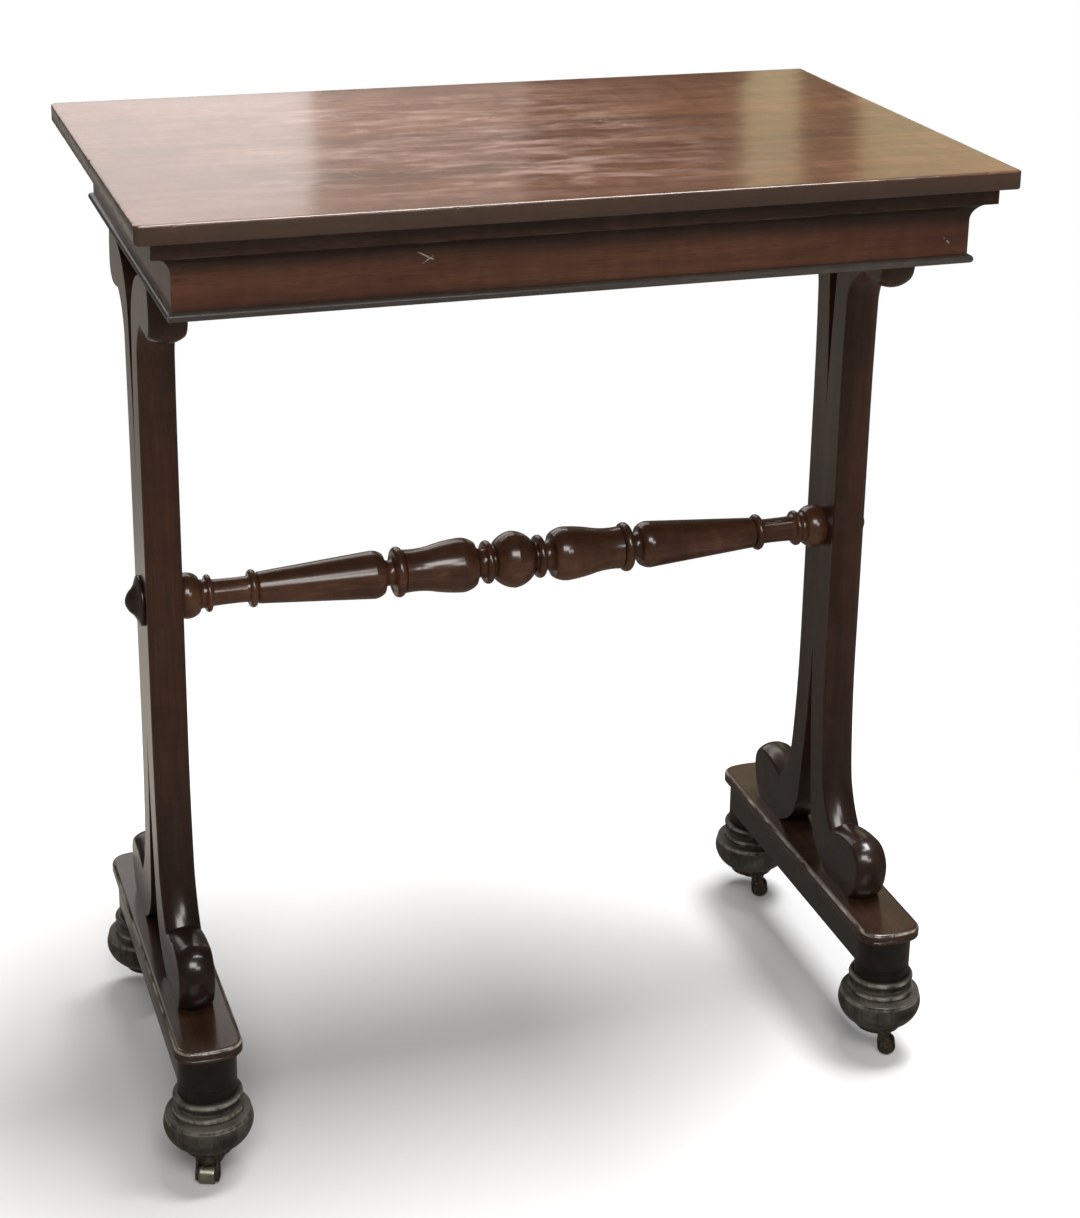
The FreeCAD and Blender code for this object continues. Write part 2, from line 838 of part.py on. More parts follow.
def make_castor_plate(centre):
    """The round plate of a castor, screwed under its foot."""
    start = FreeCAD.Vector(centre.x, centre.y, plate_underside)
    plate = Part.makeCylinder(plate_radius, plate_thickness, start, Z_AXIS)
    cutters = [
        Part.makeCylinder(swivel_pin_radius + fit_clearance, plate_thickness, start, Z_AXIS)
    ]
    for place in castor_screw_places(centre, plate_underside):
        cutters.append(screw_cone(place, fit_clearance))
        cutters.append(
            Part.makeCylinder(castor_screw_radius + fit_clearance, plate_thickness, place, Z_AXIS)
        )
    return plate.cut(cutters)


def make_castor_pin(centre):
    """The headed pin that the horn swivels on, riveted in the plate."""
    head_top = swivel_boss_underside - swivel_gap
    head = Part.makeCylinder(
        swivel_pin_head_radius,
        swivel_pin_head_height,
        FreeCAD.Vector(centre.x, centre.y, head_top - swivel_pin_head_height),
        Z_AXIS,
    )
    shank = Part.makeCylinder(
        swivel_pin_radius,
        foot_bottom_level - head_top,
        FreeCAD.Vector(centre.x, centre.y, head_top),
        Z_AXIS,
    )
    return head.fuse(shank).removeSplitter()


def cheek_outline(depth):
    """A horn's cheek seen from its side: a broad root in the hood, raked down to the axle's eye."""
    eye = (castor_trail, wheel_radius)
    root = swivel_boss_underside
    near_tangent = polar_xz(eye, cheek_eye_radius, cheek_near_angle)
    far_tangent = polar_xz(eye, cheek_eye_radius, cheek_far_angle)
    bottom = polar_xz(eye, cheek_eye_radius, -90)
    near_root = FreeCAD.Vector(cheek_top_near, 0, root)
    far_root = FreeCAD.Vector(cheek_top_far, 0, root)
    edges = [
        arc(near_tangent, bottom, far_tangent),
        line(far_tangent, far_root),
        line(far_root, near_root),
        line(near_root, near_tangent),
    ]
    return filled(edges).extrude(Y_AXIS * depth)


def polar_xz(centre, radius, degrees):
    """A point of a circle in the X-Z plane."""
    turn = math.radians(degrees)
    return FreeCAD.Vector(centre[0] + radius * math.cos(turn), 0, centre[1] + radius * math.sin(turn))


def cheek_inner():
    """How far a cheek's inner face stands from the middle of the wheel."""
    return wheel_width / 2 + cheek_gap


def castor_piece(shape, centre, degrees):
    """A piece made about its swivel axis, turned the way its castor trails and set in place."""
    placed = shape.copy()
    placed.rotate(ORIGIN, Z_AXIS, degrees)
    placed.translate(FreeCAD.Vector(centre.x, centre.y, 0))
    return placed


def horn_hood():
    """The half cone of a horn that covers the top of the wheel."""
    start = FreeCAD.Vector(0, 0, hood_underside)
    height = swivel_boss_top - hood_underside
    cone = Part.makeCone(hood_foot_radius, hood_top_radius, height, start, Z_AXIS)
    keep = box(
        (hood_back_offset, -hood_top_radius, hood_underside),
        (hood_top_radius, hood_top_radius, swivel_boss_top),
    )
    return cone.common(keep)


def make_horn():
    """The swivelling horn: a round boss, a hood over the wheel and two cheeks that hold the axle."""
    start = FreeCAD.Vector(0, 0, swivel_boss_underside)
    horn = Part.makeCone(
        swivel_boss_foot_radius, swivel_boss_radius, swivel_boss_height, start, Z_AXIS
    ).fuse(horn_hood())
    for sign in (1, -1):
        cheek = cheek_outline(cheek_thickness)
        near = cheek_inner() if sign > 0 else -cheek_inner() - cheek_thickness
        cheek.translate(Y_AXIS * near)
        horn = horn.fuse(cheek)
    reach = cheek_inner() + cheek_thickness + overrun
    eye = Part.makeCylinder(
        axle_radius + fit_clearance,
        2 * reach,
        FreeCAD.Vector(castor_trail, -reach, wheel_radius),
        Y_AXIS,
    )
    bore = Part.makeCylinder(
        swivel_pin_radius + fit_clearance,
        swivel_boss_height + 2 * overrun,
        start - Z_AXIS * overrun,
        Z_AXIS,
    )
    pocket = Part.makeCylinder(
        swivel_pin_head_radius + swivel_gap,
        swivel_boss_underside - hood_underside + overrun,
        FreeCAD.Vector(0, 0, hood_underside - overrun),
        Z_AXIS,
    )
    return horn.cut([eye, bore, pocket]).removeSplitter()


def make_wheel():
    """A castor wheel with eased rims, a shallow dish on each side and a bore for its axle."""
    centre = FreeCAD.Vector(castor_trail, -wheel_width / 2, wheel_radius)
    wheel = Part.makeCylinder(wheel_radius, wheel_width, centre, Y_AXIS)
    rims = [edge for edge in wheel.Edges if edge.BoundBox.YLength < wheel_arris_radius]
    wheel = wheel.makeFillet(wheel_arris_radius, rims)
    far = centre + Y_AXIS * wheel_width
    dishes = [
        Part.makeCylinder(wheel_dish_radius, wheel_dish_depth, centre, Y_AXIS),
        Part.makeCylinder(wheel_dish_radius, wheel_dish_depth, far, -Y_AXIS),
    ]
    bore = Part.makeCylinder(axle_radius + fit_clearance, wheel_width, centre, Y_AXIS)
    return wheel.cut(dishes + [bore])


def make_axle():
    """The riveted axle across a horn's cheeks."""
    half = cheek_inner() + cheek_thickness + axle_end_gap
    start = FreeCAD.Vector(castor_trail, -half, wheel_radius)
    axle = Part.makeCylinder(axle_radius, 2 * half, start, Y_AXIS)
    heads = [
        Part.makeCylinder(axle_head_radius, axle_head_height, start, -Y_AXIS),
        Part.makeCylinder(axle_head_radius, axle_head_height, start + Y_AXIS * 2 * half, Y_AXIS),
    ]
    return axle.fuse(heads).removeSplitter()


def foot_centres():
    """The four feet by name, each with the point of the floor under it."""
    return {
        f"{depth}_{side_name(sign)}": FreeCAD.Vector(sign * end_centre, end * foot_reach, 0)
        for depth, end in (("front", -1), ("back", 1))
        for sign in (-1, 1)
    }


def make_table():
    """Every piece of the table by name."""
    pieces = {"top_board": make_top_board(), "top_screws": make_top_screws()}
    pieces.update(make_mouldings())
    for sign in (-1, 1):
        side = side_name(sign)
        pieces[f"bearer_{side}"] = make_bearer(sign)
        pieces[f"support_{side}"] = make_support(sign)
        pieces[f"boss_{side}"] = make_boss(sign)
        pieces[f"platform_{side}"] = make_platform(sign)
        for depth, end in (("front", -1), ("back", 1)):
            pieces[f"corner_block_{depth}_{side}"] = make_corner_block(sign, end)
    pieces["stretcher"] = make_stretcher()
    for corner, centre in foot_centres().items():
        degrees = castor_trail_angles[corner]
        pieces[f"foot_{corner}"] = make_foot(centre)
        pieces[f"castor_plate_{corner}"] = make_castor_plate(centre)
        pieces[f"castor_pin_{corner}"] = make_castor_pin(centre)
        pieces[f"castor_horn_{corner}"] = castor_piece(make_horn(), centre, degrees)
        pieces[f"castor_wheel_{corner}"] = castor_piece(make_wheel(), centre, degrees)
        pieces[f"castor_axle_{corner}"] = castor_piece(make_axle(), centre, degrees)
    pieces["castor_screws"] = make_castor_screws(foot_centres().values())
    return pieces


os.makedirs("parts", exist_ok=True)
for name, shape in make_table().items():
    shape.exportStep(f"parts/{name}.step")
    solids = len(shape.Solids)
    valid = "valid" if shape.isValid() else "not valid"
    print(f"{name}: {solids} solid(s), {shape.Volume:.1f} cubic mm, {valid}")
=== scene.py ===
"""A mahogany side table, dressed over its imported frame.

It gives the wood and the brass their finishes, replaces the top board by a worn one, and sets up a
plain pale studio.
"""

import logging
import math
from collections.abc import Callable, Iterable
from dataclasses import dataclass, field
from enum import Enum
from typing import Any

import bmesh
import bpy
from mathutils import Matrix, Quaternion, Vector, noise


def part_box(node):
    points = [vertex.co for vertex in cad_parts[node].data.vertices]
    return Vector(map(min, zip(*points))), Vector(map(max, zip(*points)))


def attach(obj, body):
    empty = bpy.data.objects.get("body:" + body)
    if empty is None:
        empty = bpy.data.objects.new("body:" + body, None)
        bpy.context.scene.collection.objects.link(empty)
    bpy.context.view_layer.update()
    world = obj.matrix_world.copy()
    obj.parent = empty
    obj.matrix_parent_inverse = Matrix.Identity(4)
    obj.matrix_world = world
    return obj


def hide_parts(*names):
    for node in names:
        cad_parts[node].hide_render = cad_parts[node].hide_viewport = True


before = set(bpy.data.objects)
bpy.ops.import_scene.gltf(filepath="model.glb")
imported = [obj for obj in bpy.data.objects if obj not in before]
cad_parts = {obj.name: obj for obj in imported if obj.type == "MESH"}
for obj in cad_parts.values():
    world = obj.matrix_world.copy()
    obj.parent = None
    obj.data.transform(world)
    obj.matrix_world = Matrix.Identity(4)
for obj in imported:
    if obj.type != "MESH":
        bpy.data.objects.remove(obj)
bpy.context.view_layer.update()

LOG = logging.getLogger("side_table")
NODES: dict[str, bpy.types.Object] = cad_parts
TABLE_BODY = "table"
SIDES = ("left", "right")
CORNERS = ("front_left", "front_right", "back_left", "back_right")
MM = 0.001
Colour = tuple[float, float, float]
Place = tuple[float, float, float]
Step = tuple[float, float]

# The sockets of a Mix node that work on colours.
MIX_SHARE, MIX_FIRST, MIX_SECOND, MIX_RESULT = 0, 6, 7, 2
BEVEL_SAMPLES = 4
# The cosines between the flat and the rounded normal at which an edge starts and is full.
EDGE_STEP = (0.985, 0.80)
# The share of a scratch's width, and of a ring's, that has the full strength.
MARK_CORE, RING_CORE = 0.3, 0.2


class Grain(Enum):
    """The axis of the table that a piece's grain runs along."""

    LENGTHWISE = 0
    CROSSWISE = 1
    UPRIGHT = 2


class Face(Enum):
    """The flat face that scratches are placed on, by the two axes that measure it."""

    TOP = (0, 1)
    FRONT = (0, 2)


class Value:
    """One output of a shader node, on which Python's arithmetic adds Math nodes."""

    def __init__(self, graph: "Graph", socket: bpy.types.NodeSocket) -> None:
        """Keeps the socket and the graph that it belongs to.

        Args:
            graph: The graph that new nodes go into.
            socket: The output socket.
        """
        self.graph = graph
        self.socket = socket

    def _maths(self, operation: str, *terms: Any) -> "Value":
        """Adds one Math node.

        Args:
            operation: The node's operation.
            terms: Its inputs in order, values or numbers.

        Returns:
            The node's result.
        """
        made = self.graph.node("ShaderNodeMath", {"operation": operation}, dict(enumerate(terms)))
        return Value(self.graph, made.outputs[0])

    def __add__(self, other: Any) -> "Value":
        """Adds."""
        return self._maths("ADD", self, other)

    __radd__ = __add__

    def __sub__(self, other: Any) -> "Value":
        """Subtracts."""
        return self._maths("SUBTRACT", self, other)

    def __rsub__(self, other: Any) -> "Value":
        """Subtracts this from a number."""
        return self._maths("SUBTRACT", other, self)

    def __mul__(self, other: Any) -> "Value":
        """Multiplies."""
        return self._maths("MULTIPLY", self, other)

    __rmul__ = __mul__

    def __truediv__(self, other: Any) -> "Value":
        """Divides."""
        return self._maths("DIVIDE", self, other)

    def __pow__(self, other: Any) -> "Value":
        """Raises to a power."""
        return self._maths("POWER", self, other)

    def size(self) -> "Value":
        """The value without its sign."""
        return self._maths("ABSOLUTE", self)

    def most(self, other: Any) -> "Value":
        """The larger of two values."""
        return self._maths("MAXIMUM", self, other)

    def least(self, other: Any) -> "Value":
        """The smaller of two values."""
        return self._maths("MINIMUM", self, other)

    def root(self) -> "Value":
        """The square root."""
        return self._maths("SQRT", self)

    def step(self, low: float, high: float) -> "Value":
        """A smooth step.

        Args:
            low: Where the result is 0.
            high: Where the result is 1; it may be the smaller of the two.

        Returns:
            A value from 0 to 1.
        """
        made = self.graph.node(
            "ShaderNodeMapRange",
            {"interpolation_type": "SMOOTHSTEP"},
            {"Value": self, "From Min": min(low, high), "From Max": max(low, high),
             "To Min": float(low > high), "To Max": float(low < high)},
        )
        return Value(self.graph, made.outputs["Result"])


class Graph:
    """The nodes of one material or of the world."""

    def __init__(self, tree: bpy.types.NodeTree) -> None:
        """Takes a node tree and empties it.

        Args:
            tree: The tree to fill.
        """
        self.tree = tree
        tree.nodes.clear()

    def node(self, kind: str, settings: dict[str, Any], inputs: dict[Any, Any]) -> bpy.types.Node:
        """Adds a node.

        Args:
            kind: The node's type.
            settings: Its properties, which are set first.
            inputs: Numbers, colours, values or sockets by input name or number.

        Returns:
            The node.
        """
        made = self.tree.nodes.new(kind)
        for name, setting in settings.items():
            setattr(made, name, setting)
        for name, given in inputs.items():
            if isinstance(given, Value):
                given = given.socket
            if isinstance(given, bpy.types.NodeSocket):
                self.tree.links.new(given, made.inputs[name])
            else:
                made.inputs[name].default_value = given
        return made

    def point(self) -> tuple[Value, Value, Value]:
        """The place on the piece in the table's own frame, in metres."""
        place = self.node("ShaderNodeTexCoord", {}, {}).outputs["Object"]
        parts = self.node("ShaderNodeSeparateXYZ", {}, {0: place}).outputs
        return Value(self, parts[0]), Value(self, parts[1]), Value(self, parts[2])

    def vector(self, x: Any, y: Any, z: Any) -> Value:
        """Joins three values into a vector."""
        return Value(self, self.node("ShaderNodeCombineXYZ", {}, {0: x, 1: y, 2: z}).outputs[0])

    def cloud(self, place: Value, detail: float, rough: float = 0.5, warp: float = 0.0) -> Value:
        """Noise from 0 to 1, with one blotch to each unit of the place.

        Args:
            place: The scaled place.
            detail: How many finer layers it has.
            rough: How strong the finer layers are.
            warp: How far the pattern is bent by itself.

        Returns:
            The noise.
        """
        made = self.node(
            "ShaderNodeTexNoise",
            {},
            {"Vector": place, "Scale": 1.0, "Detail": detail, "Roughness": rough,
             "Distortion": warp},
        )
        return Value(self, made.outputs[0])

    def mix(self, share: Any, first: Any, second: Any) -> Value:
        """Mixes two colours.

        Args:
            share: How much of the second colour.
            first: The first colour.
            second: The second colour.

        Returns:
            The mixed colour.
        """
        made = self.node(
            "ShaderNodeMix",
            {"data_type": "RGBA", "blend_type": "MIX"},
            {MIX_SHARE: share, MIX_FIRST: self._opaque(first), MIX_SECOND: self._opaque(second)},
        )
        return Value(self, made.outputs[MIX_RESULT])

    @staticmethod
    def _opaque(colour: Any) -> Any:
        """A colour with its alpha, or a value as it is."""
        return (*colour, 1.0) if isinstance(colour, tuple) else colour

    def facing_up(self) -> Value:
        """How far the surface faces upwards, from -1 to 1."""
        normal = self.node("ShaderNodeNewGeometry", {}, {}).outputs["Normal"]
        parts = self.node("ShaderNodeSeparateXYZ", {}, {0: normal}).outputs
        return Value(self, parts[2])

    def soft_edges(self, radius: float) -> tuple[Value, Value]:
        """Edges rounded in the shading.

        Args:
            radius: How wide the rounding is, in metres.

        Returns:
            The rounded normal, and a value that rises from 0 to 1 on an edge.
        """
        bevel = self.node("ShaderNodeBevel", {"samples": BEVEL_SAMPLES}, {"Radius": radius})
        bevel = bevel.outputs[0]
        flat = self.node("ShaderNodeNewGeometry", {}, {}).outputs["Normal"]
        across = self.node("ShaderNodeVectorMath", {"operation": "DOT_PRODUCT"},
                           {0: bevel, 1: flat})
        return Value(self, bevel), Value(self, across.outputs["Value"]).step(*EDGE_STEP)

    def stroke(self, u: Value, v: Value, start: tuple[float, float], end: tuple[float, float],
               half_width: float) -> Value:
        """A thin straight mark on a flat face.

        Args:
            u: The first coordinate on the face.
            v: The second coordinate on the face.
            start: Where the mark starts.
            end: Where the mark ends.
            half_width: Half its width in metres.

        Returns:
            A value that is 1 in the middle of the mark.
        """
        run, rise = end[0] - start[0], end[1] - start[1]
        du, dv = u - start[0], v - start[1]
        share = ((du * run + dv * rise) / (run * run + rise * rise)).most(0.0).least(1.0)
        off = ((du - share * run) ** 2 + (dv - share * rise) ** 2).root()
        return off.step(half_width, half_width * MARK_CORE)


@dataclass(frozen=True)
class Layer:
    """A layer of noise that follows the grain of a piece.

    Attributes:
        along: How many blotches it has to the metre along the grain.
        across: How many it has to the metre across the grain.
        detail: How many finer layers it has.
        rough: How strong the finer layers are.
        warp: How far the pattern is bent by itself.
    """

    along: float
    across: float
    detail: float
    rough: float = 0.5
    warp: float = 0.0

    def noise(self, graph: Graph, along: Value, across: Value, through: Value) -> Value:
        """Lays the noise on a piece.

        Args:
            graph: The graph to build in.
            along: The place along the grain.
            across: The place across the grain.
            through: The place across the grain, the other way.

        Returns:
            The noise.
        """
        place = graph.vector(along * self.along, across * self.across, through * self.across)
        return graph.cloud(place, self.detail, self.rough, self.warp)


# The layers of the wood.
DRIFT = Layer(5.0, 7.0, 2.0)
BROAD = Layer(2.2, 16.0, 4.0, 0.55)
RIBBON = Layer(3.0, 110.0, 3.0)
FIBRE = Layer(26.0, 620.0, 2.0)
PORES = Layer(90.0, 1500.0, 1.0)
MOTTLE = Layer(34.0, 14.0, 5.0, 0.6, 1.6)
# The layers of its wear.
PATCHES = Layer(45.0, 120.0, 3.0, 0.65)
HAZE = Layer(14.0, 22.0, 3.0)
BLOOM = Layer(15.0, 48.0, 6.0, 0.66, 0.35)
FLAKES = Layer(260.0, 340.0, 2.0)
# The layers of the metal.
TARNISH = Layer(330.0, 330.0, 5.0, 0.62)
GRIT = Layer(1400.0, 1400.0, 3.0)

# Where each layer rises from 0 to 1.
PORE_STEP = (0.60, 0.72)
SHADE_STEP = (0.30, 0.95)
LIGHT_STEP = (0.32, 0.80)
RUB_STEP = (0.38, 0.66)
RING_STEP = (0.36, 0.66)
FLAKE_STEP = (0.36, 0.60)
DUST_STEP = (0.25, 0.65)
BLOOM_STEP = (0.42, 0.72)
TARNISH_STEP = (0.36, 0.62)

# How far the drift bends the streaks, in metres, and how much each layer weighs in the colour.
BEND_ACROSS, BEND_THROUGH = 0.030, 0.022
BROAD_SHARE, RIBBON_SHARE, FIBRE_SHARE = 0.75, 0.45, 0.55
LIGHT_SHARE, PORE_SHARE = 0.75, 0.55

# Which faces count as upright for the painted shade on the sides, and which look up enough for the
# dust.
UPRIGHT_STEP = (0.8, 0.2)
UPWARD_STEP = (0.05, 0.95)

# Where the bloom ends along and across the board, in metres, and how far it lies off the middle.
BLOOM_LENGTH, BLOOM_WIDTH, BLOOM_SHIFT = (0.24, 0.05), (0.188, 0.12), 0.05

# How pale the rings of wear and painted highlight and the scratches are, and how much bloom and
# rings dull the polish.
RING_SHARE, SCRATCH_SHARE = 0.75, 0.75
BLOOM_DULL, RING_DULL = 0.6, 0.3

# How high each layer stands in the grain's relief, and how strong and deep that is.
FIBRE_HEIGHT, PORE_HEIGHT, HAZE_HEIGHT = 0.35, 0.8, 0.25
GRAIN_BUMP, GRAIN_DEPTH = 0.35, 0.12 * MM

# How much rubbing and haze roughen the wood, and how much polish rubbing takes off.
RUB_ROUGH, HAZE_ROUGH, RUB_BARES = 0.25, 0.10, 0.9
# How glossy the bare wood is, and how strongly the polish bends light.
WOOD_SHINE, POLISH_IOR = 0.12, 1.5

# The colour of the painted shade on upright faces, and the colours of what lies on the wood.
UPRIGHT_SHADE_COLOUR = (0.044, 0.031, 0.024)
DUST_COLOUR = (0.12, 0.11, 0.092)
BLOOM_COLOUR = (0.42, 0.30, 0.26)
SCRATCH_COLOUR = (0.42, 0.38, 0.32)

# The metal's edges: their width and how clean they are, and what tarnish and grit do to it.
METAL_EDGE, EDGE_CLEAN = 0.5 * MM, 0.7
TARNISH_MATT, TARNISH_ROUGH, GRIT_ROUGH = 0.45, 0.28, 0.08
METAL_BUMP, METAL_DEPTH = 0.3, 0.06 * MM


class Finish:
    """A material that is built once and shared by the pieces that have it."""

    made: dict[str, bpy.types.Material] = {}

    def material(self) -> bpy.types.Material:
        """The finish as a material."""
        if self.name not in Finish.made:
            made = bpy.data.materials.new(self.name)
            made.use_nodes = True
            graph = Graph(made.node_tree)
            surface = graph.node("ShaderNodeBsdfPrincipled", {}, self.surface(graph))
            graph.node("ShaderNodeOutputMaterial", {}, {"Surface": surface.outputs[0]})
            Finish.made[self.name] = made
        return Finish.made[self.name]


@dataclass(frozen=True)
class Tone:
    """The colours of a wood: its dark streaks, its body, its light streaks and its rubbed edges."""

    dark: Colour
    middle: Colour
    light: Colour
    worn: Colour


TOP_TONE = Tone(
    (0.040, 0.013, 0.006), (0.100, 0.038, 0.017), (0.215, 0.100, 0.052), (0.32, 0.26, 0.21))
FRIEZE_TONE = Tone(
    (0.040, 0.014, 0.008), (0.102, 0.038, 0.019), (0.190, 0.085, 0.044), (0.26, 0.18, 0.13))
# Painted shadow: the colours of the cove, darkened for the shadow that the top board's overhang
# casts on it.
COVE_SHADOW_TONE = Tone(
    (0.008, 0.004, 0.002), (0.024, 0.011, 0.006), (0.052, 0.025, 0.014), (0.12, 0.09, 0.07))
BEAD_TONE = Tone(
    (0.036, 0.029, 0.025), (0.070, 0.058, 0.050), (0.120, 0.105, 0.096), (0.25, 0.24, 0.23))
LEG_TONE = Tone(
    (0.016, 0.0058, 0.0030), (0.052, 0.0185, 0.0085), (0.110, 0.042, 0.018), (0.18, 0.11, 0.07))
# Painted shade: the supports' lower parts and knobs are darkened for light that falls off
# downwards; the bosses take this dark tone as their own colour.
LOW_SHADE_AND_BOSS_TONE = Tone(
    (0.009, 0.0045, 0.0030), (0.027, 0.0125, 0.0085), (0.062, 0.030, 0.019), (0.16, 0.12, 0.09))
# The lip's pale worn colour is partly wear and partly painted highlight on the platforms' lip
# edges.
LIP_TONE = Tone(
    (0.016, 0.0070, 0.0040), (0.044, 0.0200, 0.0120), (0.095, 0.046, 0.028), (0.42, 0.39, 0.34))
TURNED_TONE = Tone(
    (0.026, 0.0090, 0.0045), (0.090, 0.034, 0.0155), (0.165, 0.070, 0.032), (0.20, 0.13, 0.08))
# Painted shade: the platforms below their lip and the feet's necks under the platforms are darkened
# for the shade there.
UNDER_LIP_SHADE_TONE = Tone(
    (0.004, 0.003, 0.002), (0.011, 0.007, 0.005), (0.024, 0.015, 0.011), (0.020, 0.016, 0.012))
FOOT_TONE = Tone(
    (0.006, 0.005, 0.004), (0.029, 0.024, 0.018), (0.100, 0.088, 0.070), (0.24, 0.225, 0.185))
PLAIN_TONE = Tone(
    (0.17, 0.095, 0.045), (0.27, 0.16, 0.085), (0.38, 0.25, 0.15), (0.42, 0.31, 0.20))


@dataclass(frozen=True)
class Wood(Finish):
    """Mahogany or a plainer wood, with streaks, pores, polish and rubbed edges.

    Attributes:
        name: The material's name.
        grain: The axis that the grain runs along.
        tone: The wood's colours.
        figure: How strong the cross figure is.
        polish: How much clear polish lies over the wood.
        polish_rough: The roughness of the polish.
        rough: The roughness of the wood itself.
        rub: How strongly the edges are rubbed pale.
        dust: How much grey dust lies on faces that look up, below the change of tone.
        dirt: How much painted shade darkens the upright faces against the top.
        edge_radius: How wide the rounding of the edges is, in metres.
        bloom: How strong the pale cloudy marks in the middle of the face are.
        rings: Pale lines round the piece, each as its height and half width; they are partly rubbed
            wear and partly painted highlight.
        marks: Pale scratches, each as start, end and half width.
        marked_face: The face that has the scratches.
        upper_tone: The colours above the change of tone, where there is one.
        change: The two heights over the floor between which the tone changes; in this table each
            such change paints shade, on the lower part or on the upper one.
    """

    name: str
    grain: Grain
    tone: Tone
    figure: float = 0.25
    polish: float = 0.8
    polish_rough: float = 0.16
    rough: float = 0.42
    rub: float = 0.35
    dust: float = 0.0
    dirt: float = 0.0
    edge_radius: float = 1.2 * MM
    bloom: float = 0.0
    rings: tuple = ()
    marks: tuple = ()
    marked_face: Face = Face.FRONT
    upper_tone: Tone | None = None
    change: Step = (0.0, 0.0)

    def _colours(self, graph: Graph, height: Value) -> tuple[Any, Any, Any, Any]:
        """The four colours of the tone, which may change with height.

        Args:
            graph: The graph to build in.
            height: The height over the floor.

        Returns:
            The dark, middle, light and worn colours.
        """
        lower = (self.tone.dark, self.tone.middle, self.tone.light, self.tone.worn)
        if self.upper_tone is None:
            return lower
        above = self.upper_tone
        upper = (above.dark, above.middle, above.light, above.worn)
        share = height.step(*self.change)
        return tuple(graph.mix(share, low, high) for low, high in zip(lower, upper))

    def surface(self, graph: Graph) -> dict[str, Any]:
        """The inputs of the shader.

        Args:
            graph: The graph to build in.

        Returns:
            The inputs by name.
        """
        place = graph.point()
        turn = self.grain.value
        along, across, through = place[turn], place[(turn + 1) % 3], place[(turn + 2) % 3]
        dark, middle, light, worn = self._colours(graph, place[2])
        drift = DRIFT.noise(graph, along, across, through) - 0.5
        across_bent = across + drift * BEND_ACROSS
        through_bent = through + drift * BEND_THROUGH
        broad = BROAD.noise(graph, along, across_bent, through_bent)
        ribbon = RIBBON.noise(graph, along, across_bent, through_bent)
        fibre = FIBRE.noise(graph, along, across_bent, through_bent)
        pores = PORES.noise(graph, along, across, through).step(*PORE_STEP)
        mottle = MOTTLE.noise(graph, along, across, through)
        streaks = broad * BROAD_SHARE + ribbon * RIBBON_SHARE
        shade = (streaks + (mottle - 0.5) * self.figure).step(*SHADE_STEP)
        gleam = (fibre * FIBRE_SHARE + mottle * self.figure).step(*LIGHT_STEP)
        colour = graph.mix(shade, dark, middle)
        colour = graph.mix(gleam * shade * LIGHT_SHARE, colour, light)
        colour = graph.mix(pores * PORE_SHARE, colour, dark)
        # Painted shade: upright faces, such as the board's edges, are darkened against the top.
        if self.dirt:
            dirty = graph.facing_up().step(*UPRIGHT_STEP) * self.dirt
            colour = graph.mix(dirty, colour, UPRIGHT_SHADE_COLOUR)
        rounded, edge = graph.soft_edges(self.edge_radius)
        patches = PATCHES.noise(graph, along, across, through)
        rubbed = edge * patches.step(*RUB_STEP) * self.rub
        colour = graph.mix(rubbed, colour, worn)
        haze = HAZE.noise(graph, along, across, through)
        if self.bloom:
            clouded = BLOOM.noise(graph, along, across, through).step(*BLOOM_STEP)
            clouded = clouded * (along + BLOOM_SHIFT).size().step(*BLOOM_LENGTH) * self.bloom
            clouded = clouded * across.size().step(*BLOOM_WIDTH)
            colour = graph.mix(clouded, colour, BLOOM_COLOUR)
            rubbed = rubbed.most(clouded * BLOOM_DULL)
        # Each ring paints a pale line, partly wear and partly a painted highlight along a rounded
        # edge.
        for level, half_width in self.rings:
            ring = (place[2] - level).size().step(half_width, half_width * RING_CORE)
            ring = ring * patches.step(*RING_STEP)
            colour = graph.mix(ring * RING_SHARE, colour, worn)
            rubbed = rubbed.most(ring * RING_DULL)
        if self.dust:
            dusty = graph.facing_up().step(*UPWARD_STEP) * haze.step(*DUST_STEP) * self.dust
            dusty = dusty * place[2].step(self.change[1], self.change[0])
            colour = graph.mix(dusty, colour, DUST_COLOUR)
            rubbed = rubbed.most(dusty)
        flaked = FLAKES.noise(graph, along, across, through)
        for mark in self.marks:
            first, second = self.marked_face.value
            scratch = graph.stroke(place[first], place[second], *mark)
            scratch = scratch * flaked.step(*FLAKE_STEP) * SCRATCH_SHARE
            rubbed = rubbed.most(scratch)
            colour = graph.mix(scratch, colour, SCRATCH_COLOUR)
        height = fibre * FIBRE_HEIGHT - pores * PORE_HEIGHT + haze * HAZE_HEIGHT
        bump = graph.node(
            "ShaderNodeBump", {},
            {"Strength": GRAIN_BUMP, "Distance": GRAIN_DEPTH, "Height": height, "Normal": rounded},
        )
        return {
            "Base Color": colour,
            "Roughness": rubbed * RUB_ROUGH + haze * HAZE_ROUGH + (self.rough - HAZE_ROUGH / 2),
            "Specular IOR Level": WOOD_SHINE,
            "Coat Weight": (1.0 - rubbed * RUB_BARES) * self.polish,
            "Coat Roughness": self.polish_rough,
            "Coat IOR": POLISH_IOR,
            "Normal": bump.outputs[0],
        }


